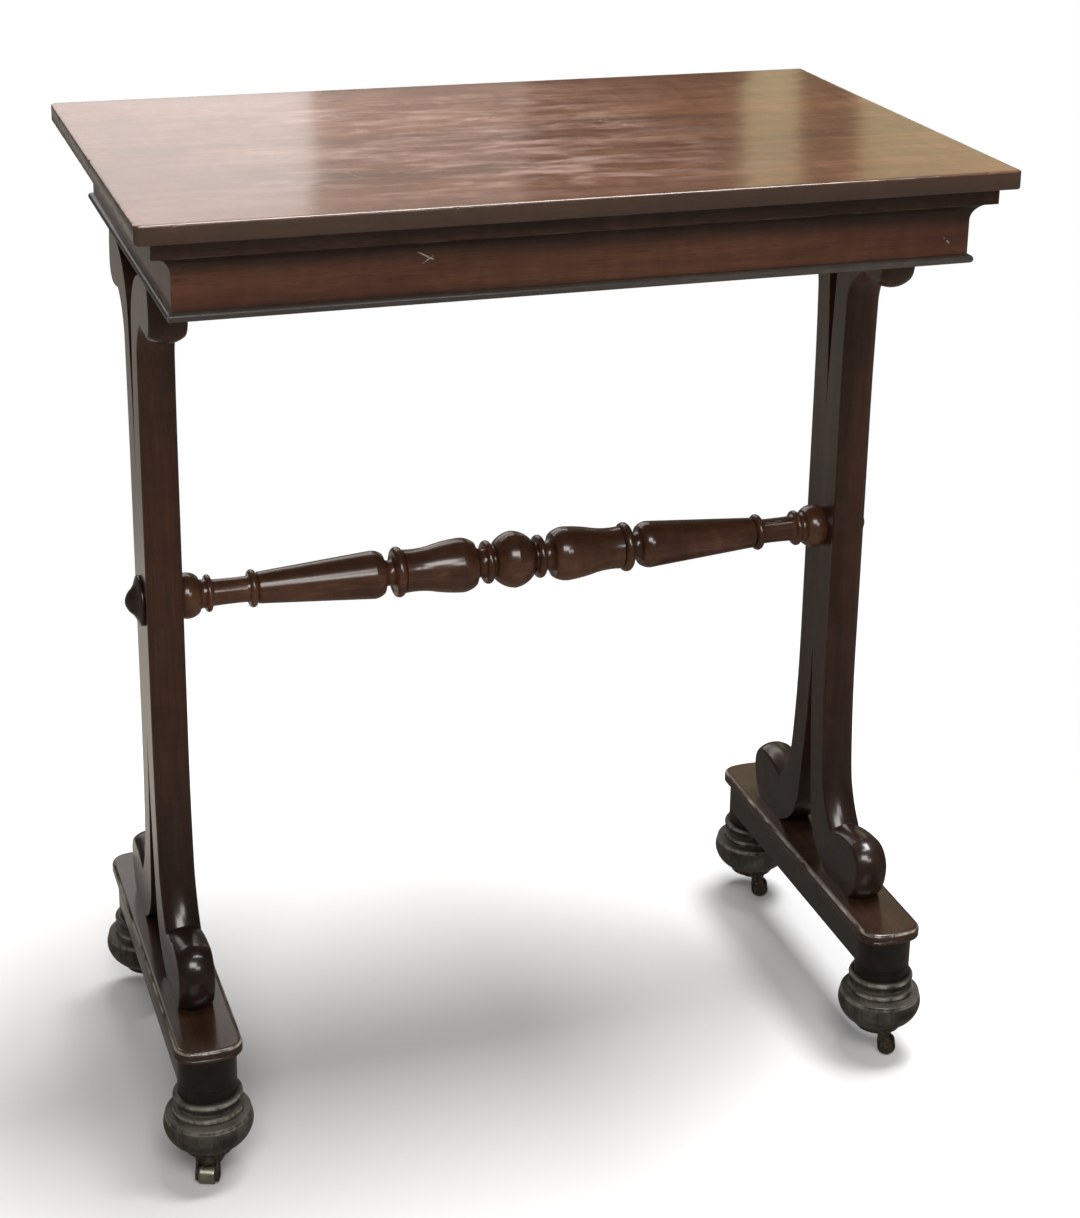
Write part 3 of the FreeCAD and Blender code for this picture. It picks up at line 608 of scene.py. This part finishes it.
@dataclass(frozen=True)
class Metal(Finish):
    """Aged metal with dark tarnish in patches.

    Attributes:
        name: The material's name.
        bare: The colour where it is rubbed clean.
        tarnish: The colour of the tarnish.
        cover: How much of it is tarnished.
        rough: The roughness where it is clean.
    """

    name: str
    bare: Colour
    tarnish: Colour
    cover: float = 0.6
    rough: float = 0.34

    def surface(self, graph: Graph) -> dict[str, Any]:
        """The inputs of the shader.

        Args:
            graph: The graph to build in.

        Returns:
            The inputs by name.
        """
        x, y, z = graph.point()
        spots = TARNISH.noise(graph, x, y, z)
        grit = GRIT.noise(graph, x, y, z)
        rounded, edge = graph.soft_edges(METAL_EDGE)
        dull = (spots + (self.cover - 0.5)).step(*TARNISH_STEP) * (1.0 - edge * EDGE_CLEAN)
        bump = graph.node(
            "ShaderNodeBump", {},
            {"Strength": METAL_BUMP, "Distance": METAL_DEPTH, "Height": grit + spots,
             "Normal": rounded},
        )
        return {
            "Base Color": graph.mix(dull, self.bare, self.tarnish),
            "Metallic": 1.0 - dull * TARNISH_MATT,
            "Roughness": dull * TARNISH_ROUGH + grit * GRIT_ROUGH + (self.rough - GRIT_ROUGH / 2),
            "Normal": bump.outputs[0],
        }


def wood(kind: str, grain: Grain, tone: Tone, **more: Any) -> Wood:
    """A wood finish whose name says its kind and its grain.

    Args:
        kind: The kind of piece.
        grain: The axis that the grain runs along.
        tone: The wood's colours.
        more: Other attributes of the finish.

    Returns:
        The finish.
    """
    return Wood(f"{kind}_{grain.name.lower()}", grain, tone, **more)


def dress(node: str, finish: Finish) -> None:
    """Gives a CAD node its finish.

    Args:
        node: The node's name.
        finish: Its finish.
    """
    slots = NODES[node].data.materials
    slots.clear()
    slots.append(finish.material())
    LOG.info("dressed %s with %s", node, finish.name)


def new_piece(name: str, mesh: bmesh.types.BMesh, finish: Finish, body: str,
              stands_for: Iterable[str] = ()) -> bpy.types.Object:
    """Makes a finished piece of a bmesh and fixes it to its body.

    Args:
        name: The piece's name.
        mesh: Its shape in the table's frame; it is used up.
        finish: Its finish.
        body: The body that it rides on.
        stands_for: The CAD nodes that it replaces.

    Returns:
        The piece.
    """
    data = bpy.data.meshes.new(name)
    mesh.to_mesh(data)
    mesh.free()
    piece = bpy.data.objects.new(name, data)
    bpy.context.scene.collection.objects.link(piece)
    data.materials.append(finish.material())
    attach(piece, body)
    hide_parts(*stands_for)
    LOG.info("built %s: %d faces", name, len(data.polygons))
    return piece


# The scale of the wear's noise, and where the noises of the chips and their stretches start.
SEAT_SCALE = Vector((1.0, 1.0, 0.0)).length
CHIP_START = Vector((0.0, 0.0, 7.0))
PATCH_START = Vector((3.0, 0.0, 1.0))


@dataclass
class TopBoard:
    """The top board, with arrises that years of use have worn and chipped.

    Attributes:
        corner_radius: The radius of its four corners.
        arris: The radius of its rounded arrises.
        corner_segments: How many steps a corner has.
        arris_segments: How many steps an arris has.
        rim: How wide the finely cut strip inside the arrises is.
        cut_spacing: How far apart the cuts in the rim are.
        cut_tolerance: How near to a cut a vertex counts as on it.
        flat_normal: How far a face looks up or down to count as flat.
        inner_area: The area over which a flat face is not cut.
        chip_depth: How deep the deepest chips are.
        wear_depth: How deep the arrises are worn all along.
        wear_waves: How many waves to the metre the wear has.
        chip_waves: How many chips to the metre there may be.
        chip_floor: How strong the chips' noise has to be for a chip.
        chip_span: How far it can rise over that.
        patch_waves: How many chipped stretches to the metre there may be.
        patch_lift: How much longer than the sound ones they are.
        fade: How gently the wear ends on the faces beside the arris.
        slope: How much the wear presses down for what it presses in.
        scuffs: The scratches on the top, each as start, end and half width.
    """

    corner_radius: float = 4.0 * MM
    arris: float = 1.3 * MM
    corner_segments: int = 5
    arris_segments: int = 4
    rim: float = 2.2 * MM
    cut_spacing: float = 1.5 * MM
    cut_tolerance: float = 1e-7
    flat_normal: float = 0.99
    inner_area: float = 0.1
    chip_depth: float = 1.3 * MM
    wear_depth: float = 0.28 * MM
    wear_waves: float = 60.0
    chip_waves: float = 210.0
    chip_floor: float = 0.34
    chip_span: float = 0.66
    patch_waves: float = 22.0
    patch_lift: float = 0.15
    fade: float = 0.35
    slope: float = 0.8
    scuffs: tuple = (
        ((-0.1245, 0.0899), (-0.1130, 0.0978), 0.5 * MM),
        ((-0.1130, 0.0978), (-0.1060, 0.0860), 0.5 * MM),
        ((-0.1068, 0.0511), (-0.0990, 0.0331), 0.4 * MM),
        ((0.0700, 0.0390), (0.0880, 0.0110), 0.4 * MM),
        ((0.0760, 0.0410), (0.0905, 0.0160), 0.3 * MM),
        ((0.0820, 0.0280), (0.0960, 0.0060), 0.4 * MM),
        ((-0.1440, -0.0786), (-0.1370, -0.0990), 0.3 * MM),
        ((-0.2010, 0.1380), (-0.1900, 0.1290), 0.4 * MM),
    )

    @property
    def finish(self) -> Wood:
        """The finish of the board."""
        # The board's edges are darkened by the painted shade on upright faces.
        return wood("top", Grain.LENGTHWISE, TOP_TONE, figure=0.3, polish=0.85, polish_rough=0.12,
                    rough=0.36, rub=0.6, dirt=0.75, bloom=0.44, marks=self.scuffs,
                    marked_face=Face.TOP)

    def build(self) -> None:
        """Builds the board and puts it in the place of the plain one."""
        low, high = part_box("top_board")
        board = self._blank(low, high)
        self._wear(board, low, high)
        bmesh.ops.recalc_face_normals(board, faces=board.faces)
        self._number(board)
        for face in board.faces:
            face.smooth = True
        new_piece("worn_top_board", board, self.finish, TABLE_BODY,
                  ["top_board"])

    def _blank(self, low: Vector, high: Vector) -> bmesh.types.BMesh:
        """A plain board with rounded corners and arrises, cut finely along its rim.

        Args:
            low: The board's lowest corner.
            high: Its highest corner.

        Returns:
            The board.
        """
        board = bmesh.new()
        bmesh.ops.create_cube(board, size=1.0)
        bmesh.ops.scale(board, vec=high - low, verts=board.verts)
        bmesh.ops.translate(board, vec=(low + high) / 2, verts=board.verts)
        upright = [e for e in board.edges if abs(e.verts[0].co.z - e.verts[1].co.z) > self.arris]
        self._bevel(board, upright, self.corner_radius, self.corner_segments)
        rims = [e for e in board.edges if abs(e.verts[0].co.z - e.verts[1].co.z) < self.arris]
        self._bevel(board, rims, self.arris, self.arris_segments)
        flats = [f for f in board.faces if abs(f.normal.z) > self.flat_normal]
        bmesh.ops.inset_individual(board, faces=flats, thickness=self.rim, use_even_offset=True)
        inner = [f for f in board.faces
                 if abs(f.normal.z) > self.flat_normal and f.calc_area() > self.inner_area]
        for axis in (0, 1):
            normal = Vector((1.0, 0.0, 0.0)) if axis == 0 else Vector((0.0, 1.0, 0.0))
            reach = high[axis] - self.corner_radius
            cuts = int(2 * reach / self.cut_spacing)
            for index in range(cuts + 1):
                place = -reach + 2 * reach * index / cuts
                faces = [f for f in board.faces if f not in inner]
                edges = dict.fromkeys(e for f in faces for e in f.edges)
                bmesh.ops.bisect_plane(board, geom=faces + list(edges), dist=self.cut_tolerance,
                                       plane_co=normal * place, plane_no=normal)
        bmesh.ops.poke(board, faces=inner)
        return board

    @staticmethod
    def _bevel(board: bmesh.types.BMesh, edges: list, width: float, segments: int) -> None:
        """Rounds some edges."""
        bmesh.ops.bevel(board, geom=edges, offset=width, offset_type="OFFSET", segments=segments,
                        profile=0.5, affect="EDGES", material=-1)

    @staticmethod
    def _number(board: bmesh.types.BMesh) -> None:
        """Numbers vertices and faces by their places, so that each run numbers them alike.

        Args:
            board: The board.
        """
        verts = sorted(board.verts, key=lambda vert: tuple(vert.co))
        ranks = {vert: rank for rank, vert in enumerate(verts)}
        board.verts.sort(key=ranks.get)
        board.verts.index_update()
        faces = sorted(board.faces, key=lambda face: sorted(vert.index for vert in face.verts))
        ranks = {face: rank for rank, face in enumerate(faces)}
        board.faces.sort(key=ranks.get)
        board.faces.index_update()

    def _wear(self, board: bmesh.types.BMesh, low: Vector, high: Vector) -> None:
        """Presses the arrises in by small uneven amounts, and no vertex over the board's top.

        Args:
            board: The board.
            low: Its lowest corner.
            high: Its highest corner.
        """
        middle = (low + high) / 2
        for vert in board.verts:
            vert.co.z = min(vert.co.z, high.z)
            side = max(abs(vert.co.x - middle.x) - (high.x - middle.x) + self.arris,
                       abs(vert.co.y - middle.y) - (high.y - middle.y) + self.arris)
            top = vert.co.z - high.z + self.arris
            bottom = low.z + self.arris - vert.co.z
            near = max(min(side, top), min(side, bottom)) / self.arris
            if side <= -self.arris or max(top, bottom) <= -self.arris or near < -self.fade:
                continue
            inwards = Vector((-vert.co.x, -vert.co.y, 0.0)).normalized()
            if abs(vert.co.x - middle.x) < high.x - middle.x - self.rim:
                inwards = Vector((0.0, -math.copysign(1.0, vert.co.y), 0.0))
            elif abs(vert.co.y - middle.y) < high.y - middle.y - self.rim:
                inwards = Vector((-math.copysign(1.0, vert.co.x), 0.0, 0.0))
            inwards.z = -self.slope if top > bottom else self.slope
            seat = vert.co * SEAT_SCALE
            worn = 0.5 + 0.5 * noise.noise(seat * self.wear_waves)
            chip = noise.noise(seat * self.chip_waves + CHIP_START) - self.chip_floor
            chip = max(0.0, chip) / self.chip_span
            patch = noise.noise(seat * self.patch_waves + PATCH_START) + self.patch_lift
            depth = self.wear_depth * worn + self.chip_depth * chip * max(0.0, patch)
            vert.co += inwards * depth * min(1.0, near + self.fade)


@dataclass
class Mouldings:
    """The fillet, the frieze with its cove darkened by painted shadow from the top's overhang, and
    the bead under the top board.
    """

    scratches: tuple = (
        ((-0.1171, 0.6854), (-0.1072, 0.6801), 0.6 * MM),
        ((-0.1072, 0.6821), (-0.1138, 0.6779), 0.5 * MM),
        ((0.2565, 0.6697), (0.2606, 0.6659), 0.6 * MM),
    )
    # The heights between which the frieze's colour darkens into the cove's painted shadow.
    cove_shade: Step = (672.0 * MM, 694.0 * MM)

    def build(self) -> None:
        """Dresses the three mouldings."""
        for side in ("front", "back", "left", "right"):
            grain = Grain.LENGTHWISE if side in ("front", "back") else Grain.CROSSWISE
            marks = self.scratches if side == "front" else ()
            # Above the change of tone the frieze takes the cove's painted shadow colour.
            frieze = Wood(f"frieze_{side}", grain, FRIEZE_TONE, figure=0.2, polish=0.7,
                          polish_rough=0.2, rub=0.3, marks=marks, upper_tone=COVE_SHADOW_TONE,
                          change=self.cove_shade)
            dress(f"frieze_{side}", frieze)
            dress(f"top_fillet_{side}", wood("fillet", grain, LIP_TONE, rub=0.25, polish=0.6))
            dress(f"frieze_bead_{side}", wood("bead", grain, BEAD_TONE, rub=0.6, polish=0.4,
                                              edge_radius=1.8 * MM))


@dataclass
class EndFrames:
    """The two pierced supports, their bosses, the stretcher and the hidden bearers and blocks."""

    # The supports darken towards the bottom below the change of tone: painted shade for light that
    # falls off downwards.
    legs: Wood = field(default_factory=lambda: wood(
        "support", Grain.UPRIGHT, LOW_SHADE_AND_BOSS_TONE, figure=0.2, polish=0.95, polish_rough=0.19, rub=0.35,
        upper_tone=LEG_TONE, change=(150.0 * MM, 290.0 * MM)))
    turnings: Wood = field(default_factory=lambda: wood(
        "turning", Grain.LENGTHWISE, TURNED_TONE, figure=0.35, polish=1.0, polish_rough=0.18,
        rub=0.4, edge_radius=0.8 * MM))
    # The bosses take the supports' dark lower tone as their own colour.
    bosses: Wood = field(default_factory=lambda: wood(
        "boss", Grain.LENGTHWISE, LOW_SHADE_AND_BOSS_TONE, polish=0.9, polish_rough=0.2, rub=0.6,
        edge_radius=0.8 * MM))
    bearers: Wood = field(default_factory=lambda: wood(
        "bearer", Grain.CROSSWISE, PLAIN_TONE, polish=0.0, rough=0.7, rub=0.1))
    blocks: Wood = field(default_factory=lambda: wood(
        "block", Grain.UPRIGHT, PLAIN_TONE, polish=0.0, rough=0.75, rub=0.1))

    def build(self) -> None:
        """Dresses the supports and what joins them."""
        for side in SIDES:
            dress(f"support_{side}", self.legs)
            dress(f"boss_{side}", self.bosses)
            dress(f"bearer_{side}", self.bearers)
            for end in ("front", "back"):
                dress(f"corner_block_{end}_{side}", self.blocks)
        dress("stretcher", self.turnings)


@dataclass
class Base:
    """The platforms and the turned feet."""

    # Below the lip the platform takes the painted shade colour.
    platforms: Wood = field(default_factory=lambda: wood(
        "platform", Grain.CROSSWISE, UNDER_LIP_SHADE_TONE, figure=0.25, polish=0.95, polish_rough=0.16,
        # The ring on the lip's upper edge is partly wear and partly a painted highlight line along
        # it.
        rub=0.7, rings=((115.7 * MM, 1.1 * MM),), upper_tone=LIP_TONE,
        change=(106.0 * MM, 108.0 * MM)))
    # The foot's neck above the change of tone takes the painted shade under the platform.
    feet: Wood = field(default_factory=lambda: wood(
        "foot", Grain.UPRIGHT, FOOT_TONE, figure=0.6, polish=0.55, polish_rough=0.26, rough=0.5,
        rub=1.0, dust=0.5, edge_radius=1.6 * MM, upper_tone=UNDER_LIP_SHADE_TONE,
        change=(72.6 * MM, 73.4 * MM),
        # The rings on the ring, band and ridge are partly wear and partly painted highlights on
        # these rounded parts.
        rings=((71.6 * MM, 1.6 * MM), (61.0 * MM, 1.8 * MM), (55.2 * MM, 2.0 * MM))))

    def build(self) -> None:
        """Dresses the platforms and the feet."""
        for side in SIDES:
            dress(f"platform_{side}", self.platforms)
        for corner in CORNERS:
            dress(f"foot_{corner}", self.feet)


@dataclass
class Castors:
    """The four swivel castors and all the screws."""

    brass: Metal = Metal(
        "castor_brass", (0.17, 0.145, 0.10), (0.034, 0.028, 0.020), 0.54, 0.36)
    # Painted light: lit and shaded copies of one wheel material; the dark copy paints shade on
    # three wheels, the pale copy light on the front-left one.
    shaded_wheels: Metal = Metal(
        "castor_wheel", (0.16, 0.12, 0.075), (0.022, 0.017, 0.012), 0.62, 0.38)
    lit_wheel: Metal = Metal(
        "castor_wheel_lit", (0.42, 0.41, 0.33), (0.16, 0.16, 0.125), 0.42, 0.30)
    steel: Metal = Metal(
        "screw_steel", (0.34, 0.33, 0.31), (0.085, 0.070, 0.055), 0.50, 0.40)
    lit_wheel_corner: str = "front_left"

    def build(self) -> None:
        """Dresses the castors and the screws."""
        for corner in CORNERS:
            for part in ("plate", "pin", "horn", "axle"):
                dress(f"castor_{part}_{corner}", self.brass)
            # The front-left wheel takes the pale lit copy, the other wheels the dark shaded copy.
            wheel = self.lit_wheel if corner == self.lit_wheel_corner else self.shaded_wheels
            dress(f"castor_wheel_{corner}", wheel)
        dress("castor_screws", self.steel)
        dress("top_screws", self.steel)


@dataclass(frozen=True)
class Lamp:
    """One soft lamp.

    Attributes:
        name: The lamp's name.
        place: Where it hangs.
        target: The point that it faces.
        width: Its width in metres.
        height: Its height in metres.
        power: Its power in watts.
        colour: Its colour.
        only_gloss: Whether it is seen in the polish alone.
    """

    name: str
    place: Place
    target: Place
    width: float
    height: float
    power: float
    colour: Colour = (1.0, 1.0, 1.0)
    only_gloss: bool = False

    def light(self) -> None:
        """Hangs the lamp."""
        data = bpy.data.lights.new(self.name, "AREA")
        data.shape = "RECTANGLE"
        data.size, data.size_y = self.width, self.height
        data.energy, data.color = self.power, self.colour
        lamp = bpy.data.objects.new(self.name, data)
        bpy.context.scene.collection.objects.link(lamp)
        lamp.location = self.place
        aim = Vector(self.target) - Vector(self.place)
        lamp.rotation_mode = "QUATERNION"
        lamp.rotation_quaternion = aim.to_track_quat("-Z", "Y")
        lamp.visible_camera = False
        lamp.visible_diffuse = not self.only_gloss


@dataclass
class Studio:
    """The pale floor, the lamps, the white surroundings and the camera.

    Attributes:
        floor_reach: How far the floor reaches from its middle.
        floor_colour: Its colour.
        round_fade: How far from the middle it starts to fade, and where it is white.
        back_fade: The same towards the back.
        back_slant: How much sooner the back fades on the right.
        right_fade: The same towards the right.
        right_slant: How much later the right fades at the back.
        strip_start: Where the bright strip that only the polish shows starts and is full.
        strip_edge: How far its soft edge lies from its middle line, outside and inside.
        strip_shift: How far the middle line lies to the left.
        strip_slant: How much further it lies to the left at the back.
        strip_end: Where the strip starts to dim, and where it has.
        strip_dimming: How much it dims there.
        strip_light: How bright the strip is in the polish.
        floor_light: How bright the rest of the floor is there.
        floor_tint: The colour of both.
        ambient: How strongly the surroundings light the table.
        gloss_tint: The colour of the surroundings in the polish.
        gloss_light: How bright they are there.
        lamps: The lamps.
        lens: The focal length in millimetres.
        camera_place: Where the camera stands.
        camera_turn: How it is turned, as a quaternion.
        camera_shift: How far its picture is shifted.
    """

    floor_reach: float = 7.0
    floor_colour: Colour = (0.84, 0.84, 0.84)
    round_fade: Step = (0.80, 1.70)
    back_fade: Step = (0.25, 0.95)
    back_slant: float = 0.25
    right_fade: Step = (0.22, 0.62)
    right_slant: float = 0.3
    strip_start: Step = (0.10, 0.50)
    strip_edge: Step = (0.16, 0.05)
    strip_shift: float = 0.28
    strip_slant: float = 0.15
    strip_end: Step = (0.9, 1.3)
    strip_dimming: float = 0.5
    strip_light: float = 0.52
    floor_light: float = 0.14
    floor_tint: Colour = (1.0, 0.90, 0.78)
    ambient: float = 0.20
    gloss_tint: Colour = (1.0, 0.88, 0.76)
    gloss_light: float = 0.07
    lamps: tuple = (
        Lamp("overhead", (0.44, 0.02, 2.8), (0.0, 0.0, 0.2), 1.4, 1.4, 130.0),
        Lamp("front_fill", (-0.7, -2.7, 2.9), (0.0, 0.0, 0.4), 1.8, 1.2, 72.0,
             (1.0, 0.97, 0.93)),
        Lamp("window_left", (0.15, -3.0, 2.0), (0.0, 0.0, 0.3), 0.3, 0.6, 8.0,
             (1.0, 0.98, 0.96), True),
        Lamp("window_right", (0.70, -3.0, 2.0), (0.0, 0.0, 0.3), 0.3, 0.6, 8.0,
             (1.0, 0.98, 0.96), True),
        Lamp("high_strip", (-0.3, 3.0, 2.9), (-0.3, 0.0, 0.1), 3.4, 0.4, 16.0,
             (1.0, 0.97, 0.94), True),
        Lamp("wall_pale", (-0.33, 3.0, 1.5), (-0.33, 0.0, 1.4), 1.74, 1.3, 10.2,
             (1.0, 0.95, 0.92), True),
        Lamp("wall_dim", (0.76, 3.0, 1.5), (0.76, 0.0, 1.4), 0.44, 1.3, 0.75,
             (1.0, 0.84, 0.74), True),
        Lamp("wall_dusk", (1.12, 3.0, 1.5), (1.12, 0.0, 1.4), 0.28, 1.3, 0.05,
             (1.0, 0.80, 0.66), True),
        Lamp("curtain_near", (1.525, 3.0, 1.5), (1.525, 0.0, 1.4), 0.13, 1.3, 0.34,
             (1.0, 0.92, 0.54), True),
        Lamp("curtain_far", (1.98, 3.0, 1.5), (1.98, 0.0, 1.4), 0.50, 1.3, 1.25,
             (1.0, 0.90, 0.52), True),
    )
    lens: float = 72.676
    camera_place: Place = (-0.5201, -1.62327, 1.09573)
    camera_turn: tuple = (0.805017, 0.568696, -0.106448, -0.13115)
    camera_shift: tuple = (-0.04826, -0.14421)

    def build(self) -> None:
        """Sets up everything round the table."""
        for lamp in self.lamps:
            lamp.light()
        self._floor()
        self._world()
        self._camera()
        bpy.context.scene.view_settings.view_transform = "Standard"
        LOG.info("set up the studio with %d lamps", len(self.lamps))

    def _floor(self) -> None:
        """Lays the floor, which fades to white to the camera and shows a strip in the polish."""
        plane = bmesh.new()
        bmesh.ops.create_grid(plane, x_segments=1, y_segments=1, size=self.floor_reach)
        data = bpy.data.meshes.new("floor")
        plane.to_mesh(data)
        plane.free()
        floor = bpy.data.objects.new("floor", data)
        bpy.context.scene.collection.objects.link(floor)
        made = bpy.data.materials.new("floor")
        made.use_nodes = True
        graph = Graph(made.node_tree)
        x, y, _ = graph.point()
        away = (x * x + y * y).root().step(*self.round_fade)
        back = (y + x * self.back_slant).step(*self.back_fade)
        right = (x - y * self.right_slant).step(*self.right_fade)
        far = back.most(right).most(away)
        path = graph.node("ShaderNodeLightPath", {}, {}).outputs
        seen, gloss = Value(graph, path["Is Camera Ray"]), Value(graph, path["Is Glossy Ray"])
        matt = graph.node("ShaderNodeBsdfDiffuse", {}, {"Color": (*self.floor_colour, 1.0)})
        white = graph.node("ShaderNodeEmission", {}, {"Strength": 1.0})
        mixed = graph.node("ShaderNodeMixShader", {}, {0: far * seen, 1: matt.outputs[0],
                                                       2: white.outputs[0]})
        strip = (x + self.strip_shift + y * self.strip_slant).size().step(*self.strip_edge)
        bright = y.step(*self.strip_start) * strip
        bright = bright * (1.0 - y.step(*self.strip_end) * self.strip_dimming)
        dim = graph.node("ShaderNodeEmission", {}, {
            "Color": (*self.floor_tint, 1.0),
            "Strength": bright * self.strip_light + self.floor_light})
        shown = graph.node("ShaderNodeMixShader", {}, {0: gloss, 1: mixed.outputs[0],
                                                       2: dim.outputs[0]})
        graph.node("ShaderNodeOutputMaterial", {}, {"Surface": shown.outputs[0]})
        data.materials.append(made)

    def _world(self) -> None:
        """White to the camera, softer where it lights the table or shows in its polish."""
        world = bpy.data.worlds.new("studio")
        world.use_nodes = True
        bpy.context.scene.world = world
        graph = Graph(world.node_tree)
        path = graph.node("ShaderNodeLightPath", {}, {}).outputs
        ambient = graph.node("ShaderNodeBackground", {}, {
            "Color": (1.0, 1.0, 1.0, 1.0), "Strength": self.ambient})
        gloss = graph.node("ShaderNodeBackground", {}, {
            "Color": (*self.gloss_tint, 1.0), "Strength": self.gloss_light})
        white = graph.node("ShaderNodeBackground", {}, {
            "Color": (1.0, 1.0, 1.0, 1.0), "Strength": 1.0})
        lit = graph.node("ShaderNodeMixShader", {}, {
            0: path["Is Glossy Ray"], 1: ambient.outputs[0], 2: gloss.outputs[0]})
        seen = graph.node("ShaderNodeMixShader", {}, {
            0: path["Is Camera Ray"], 1: lit.outputs[0], 2: white.outputs[0]})
        graph.node("ShaderNodeOutputWorld", {}, {"Surface": seen.outputs[0]})

    def _camera(self) -> None:
        """Sets the camera where the photograph was taken from."""
        data = bpy.data.cameras.new("camera")
        data.lens = self.lens
        data.shift_x, data.shift_y = self.camera_shift
        camera = bpy.data.objects.new("camera", data)
        bpy.context.scene.collection.objects.link(camera)
        camera.matrix_world = (Matrix.Translation(self.camera_place)
                               @ Quaternion(self.camera_turn).to_matrix().to_4x4())
        bpy.context.scene.camera = camera


def main() -> None:
    """Builds the table's looks and the studio, in order."""
    logging.basicConfig(level=logging.INFO, format="%(message)s")
    builders: tuple[Callable[[], None], ...] = (
        TopBoard().build, Mouldings().build, EndFrames().build, Base().build, Castors().build,
        Studio().build,
    )
    for build in builders:
        build()


if __name__ == "__main__":
    main()
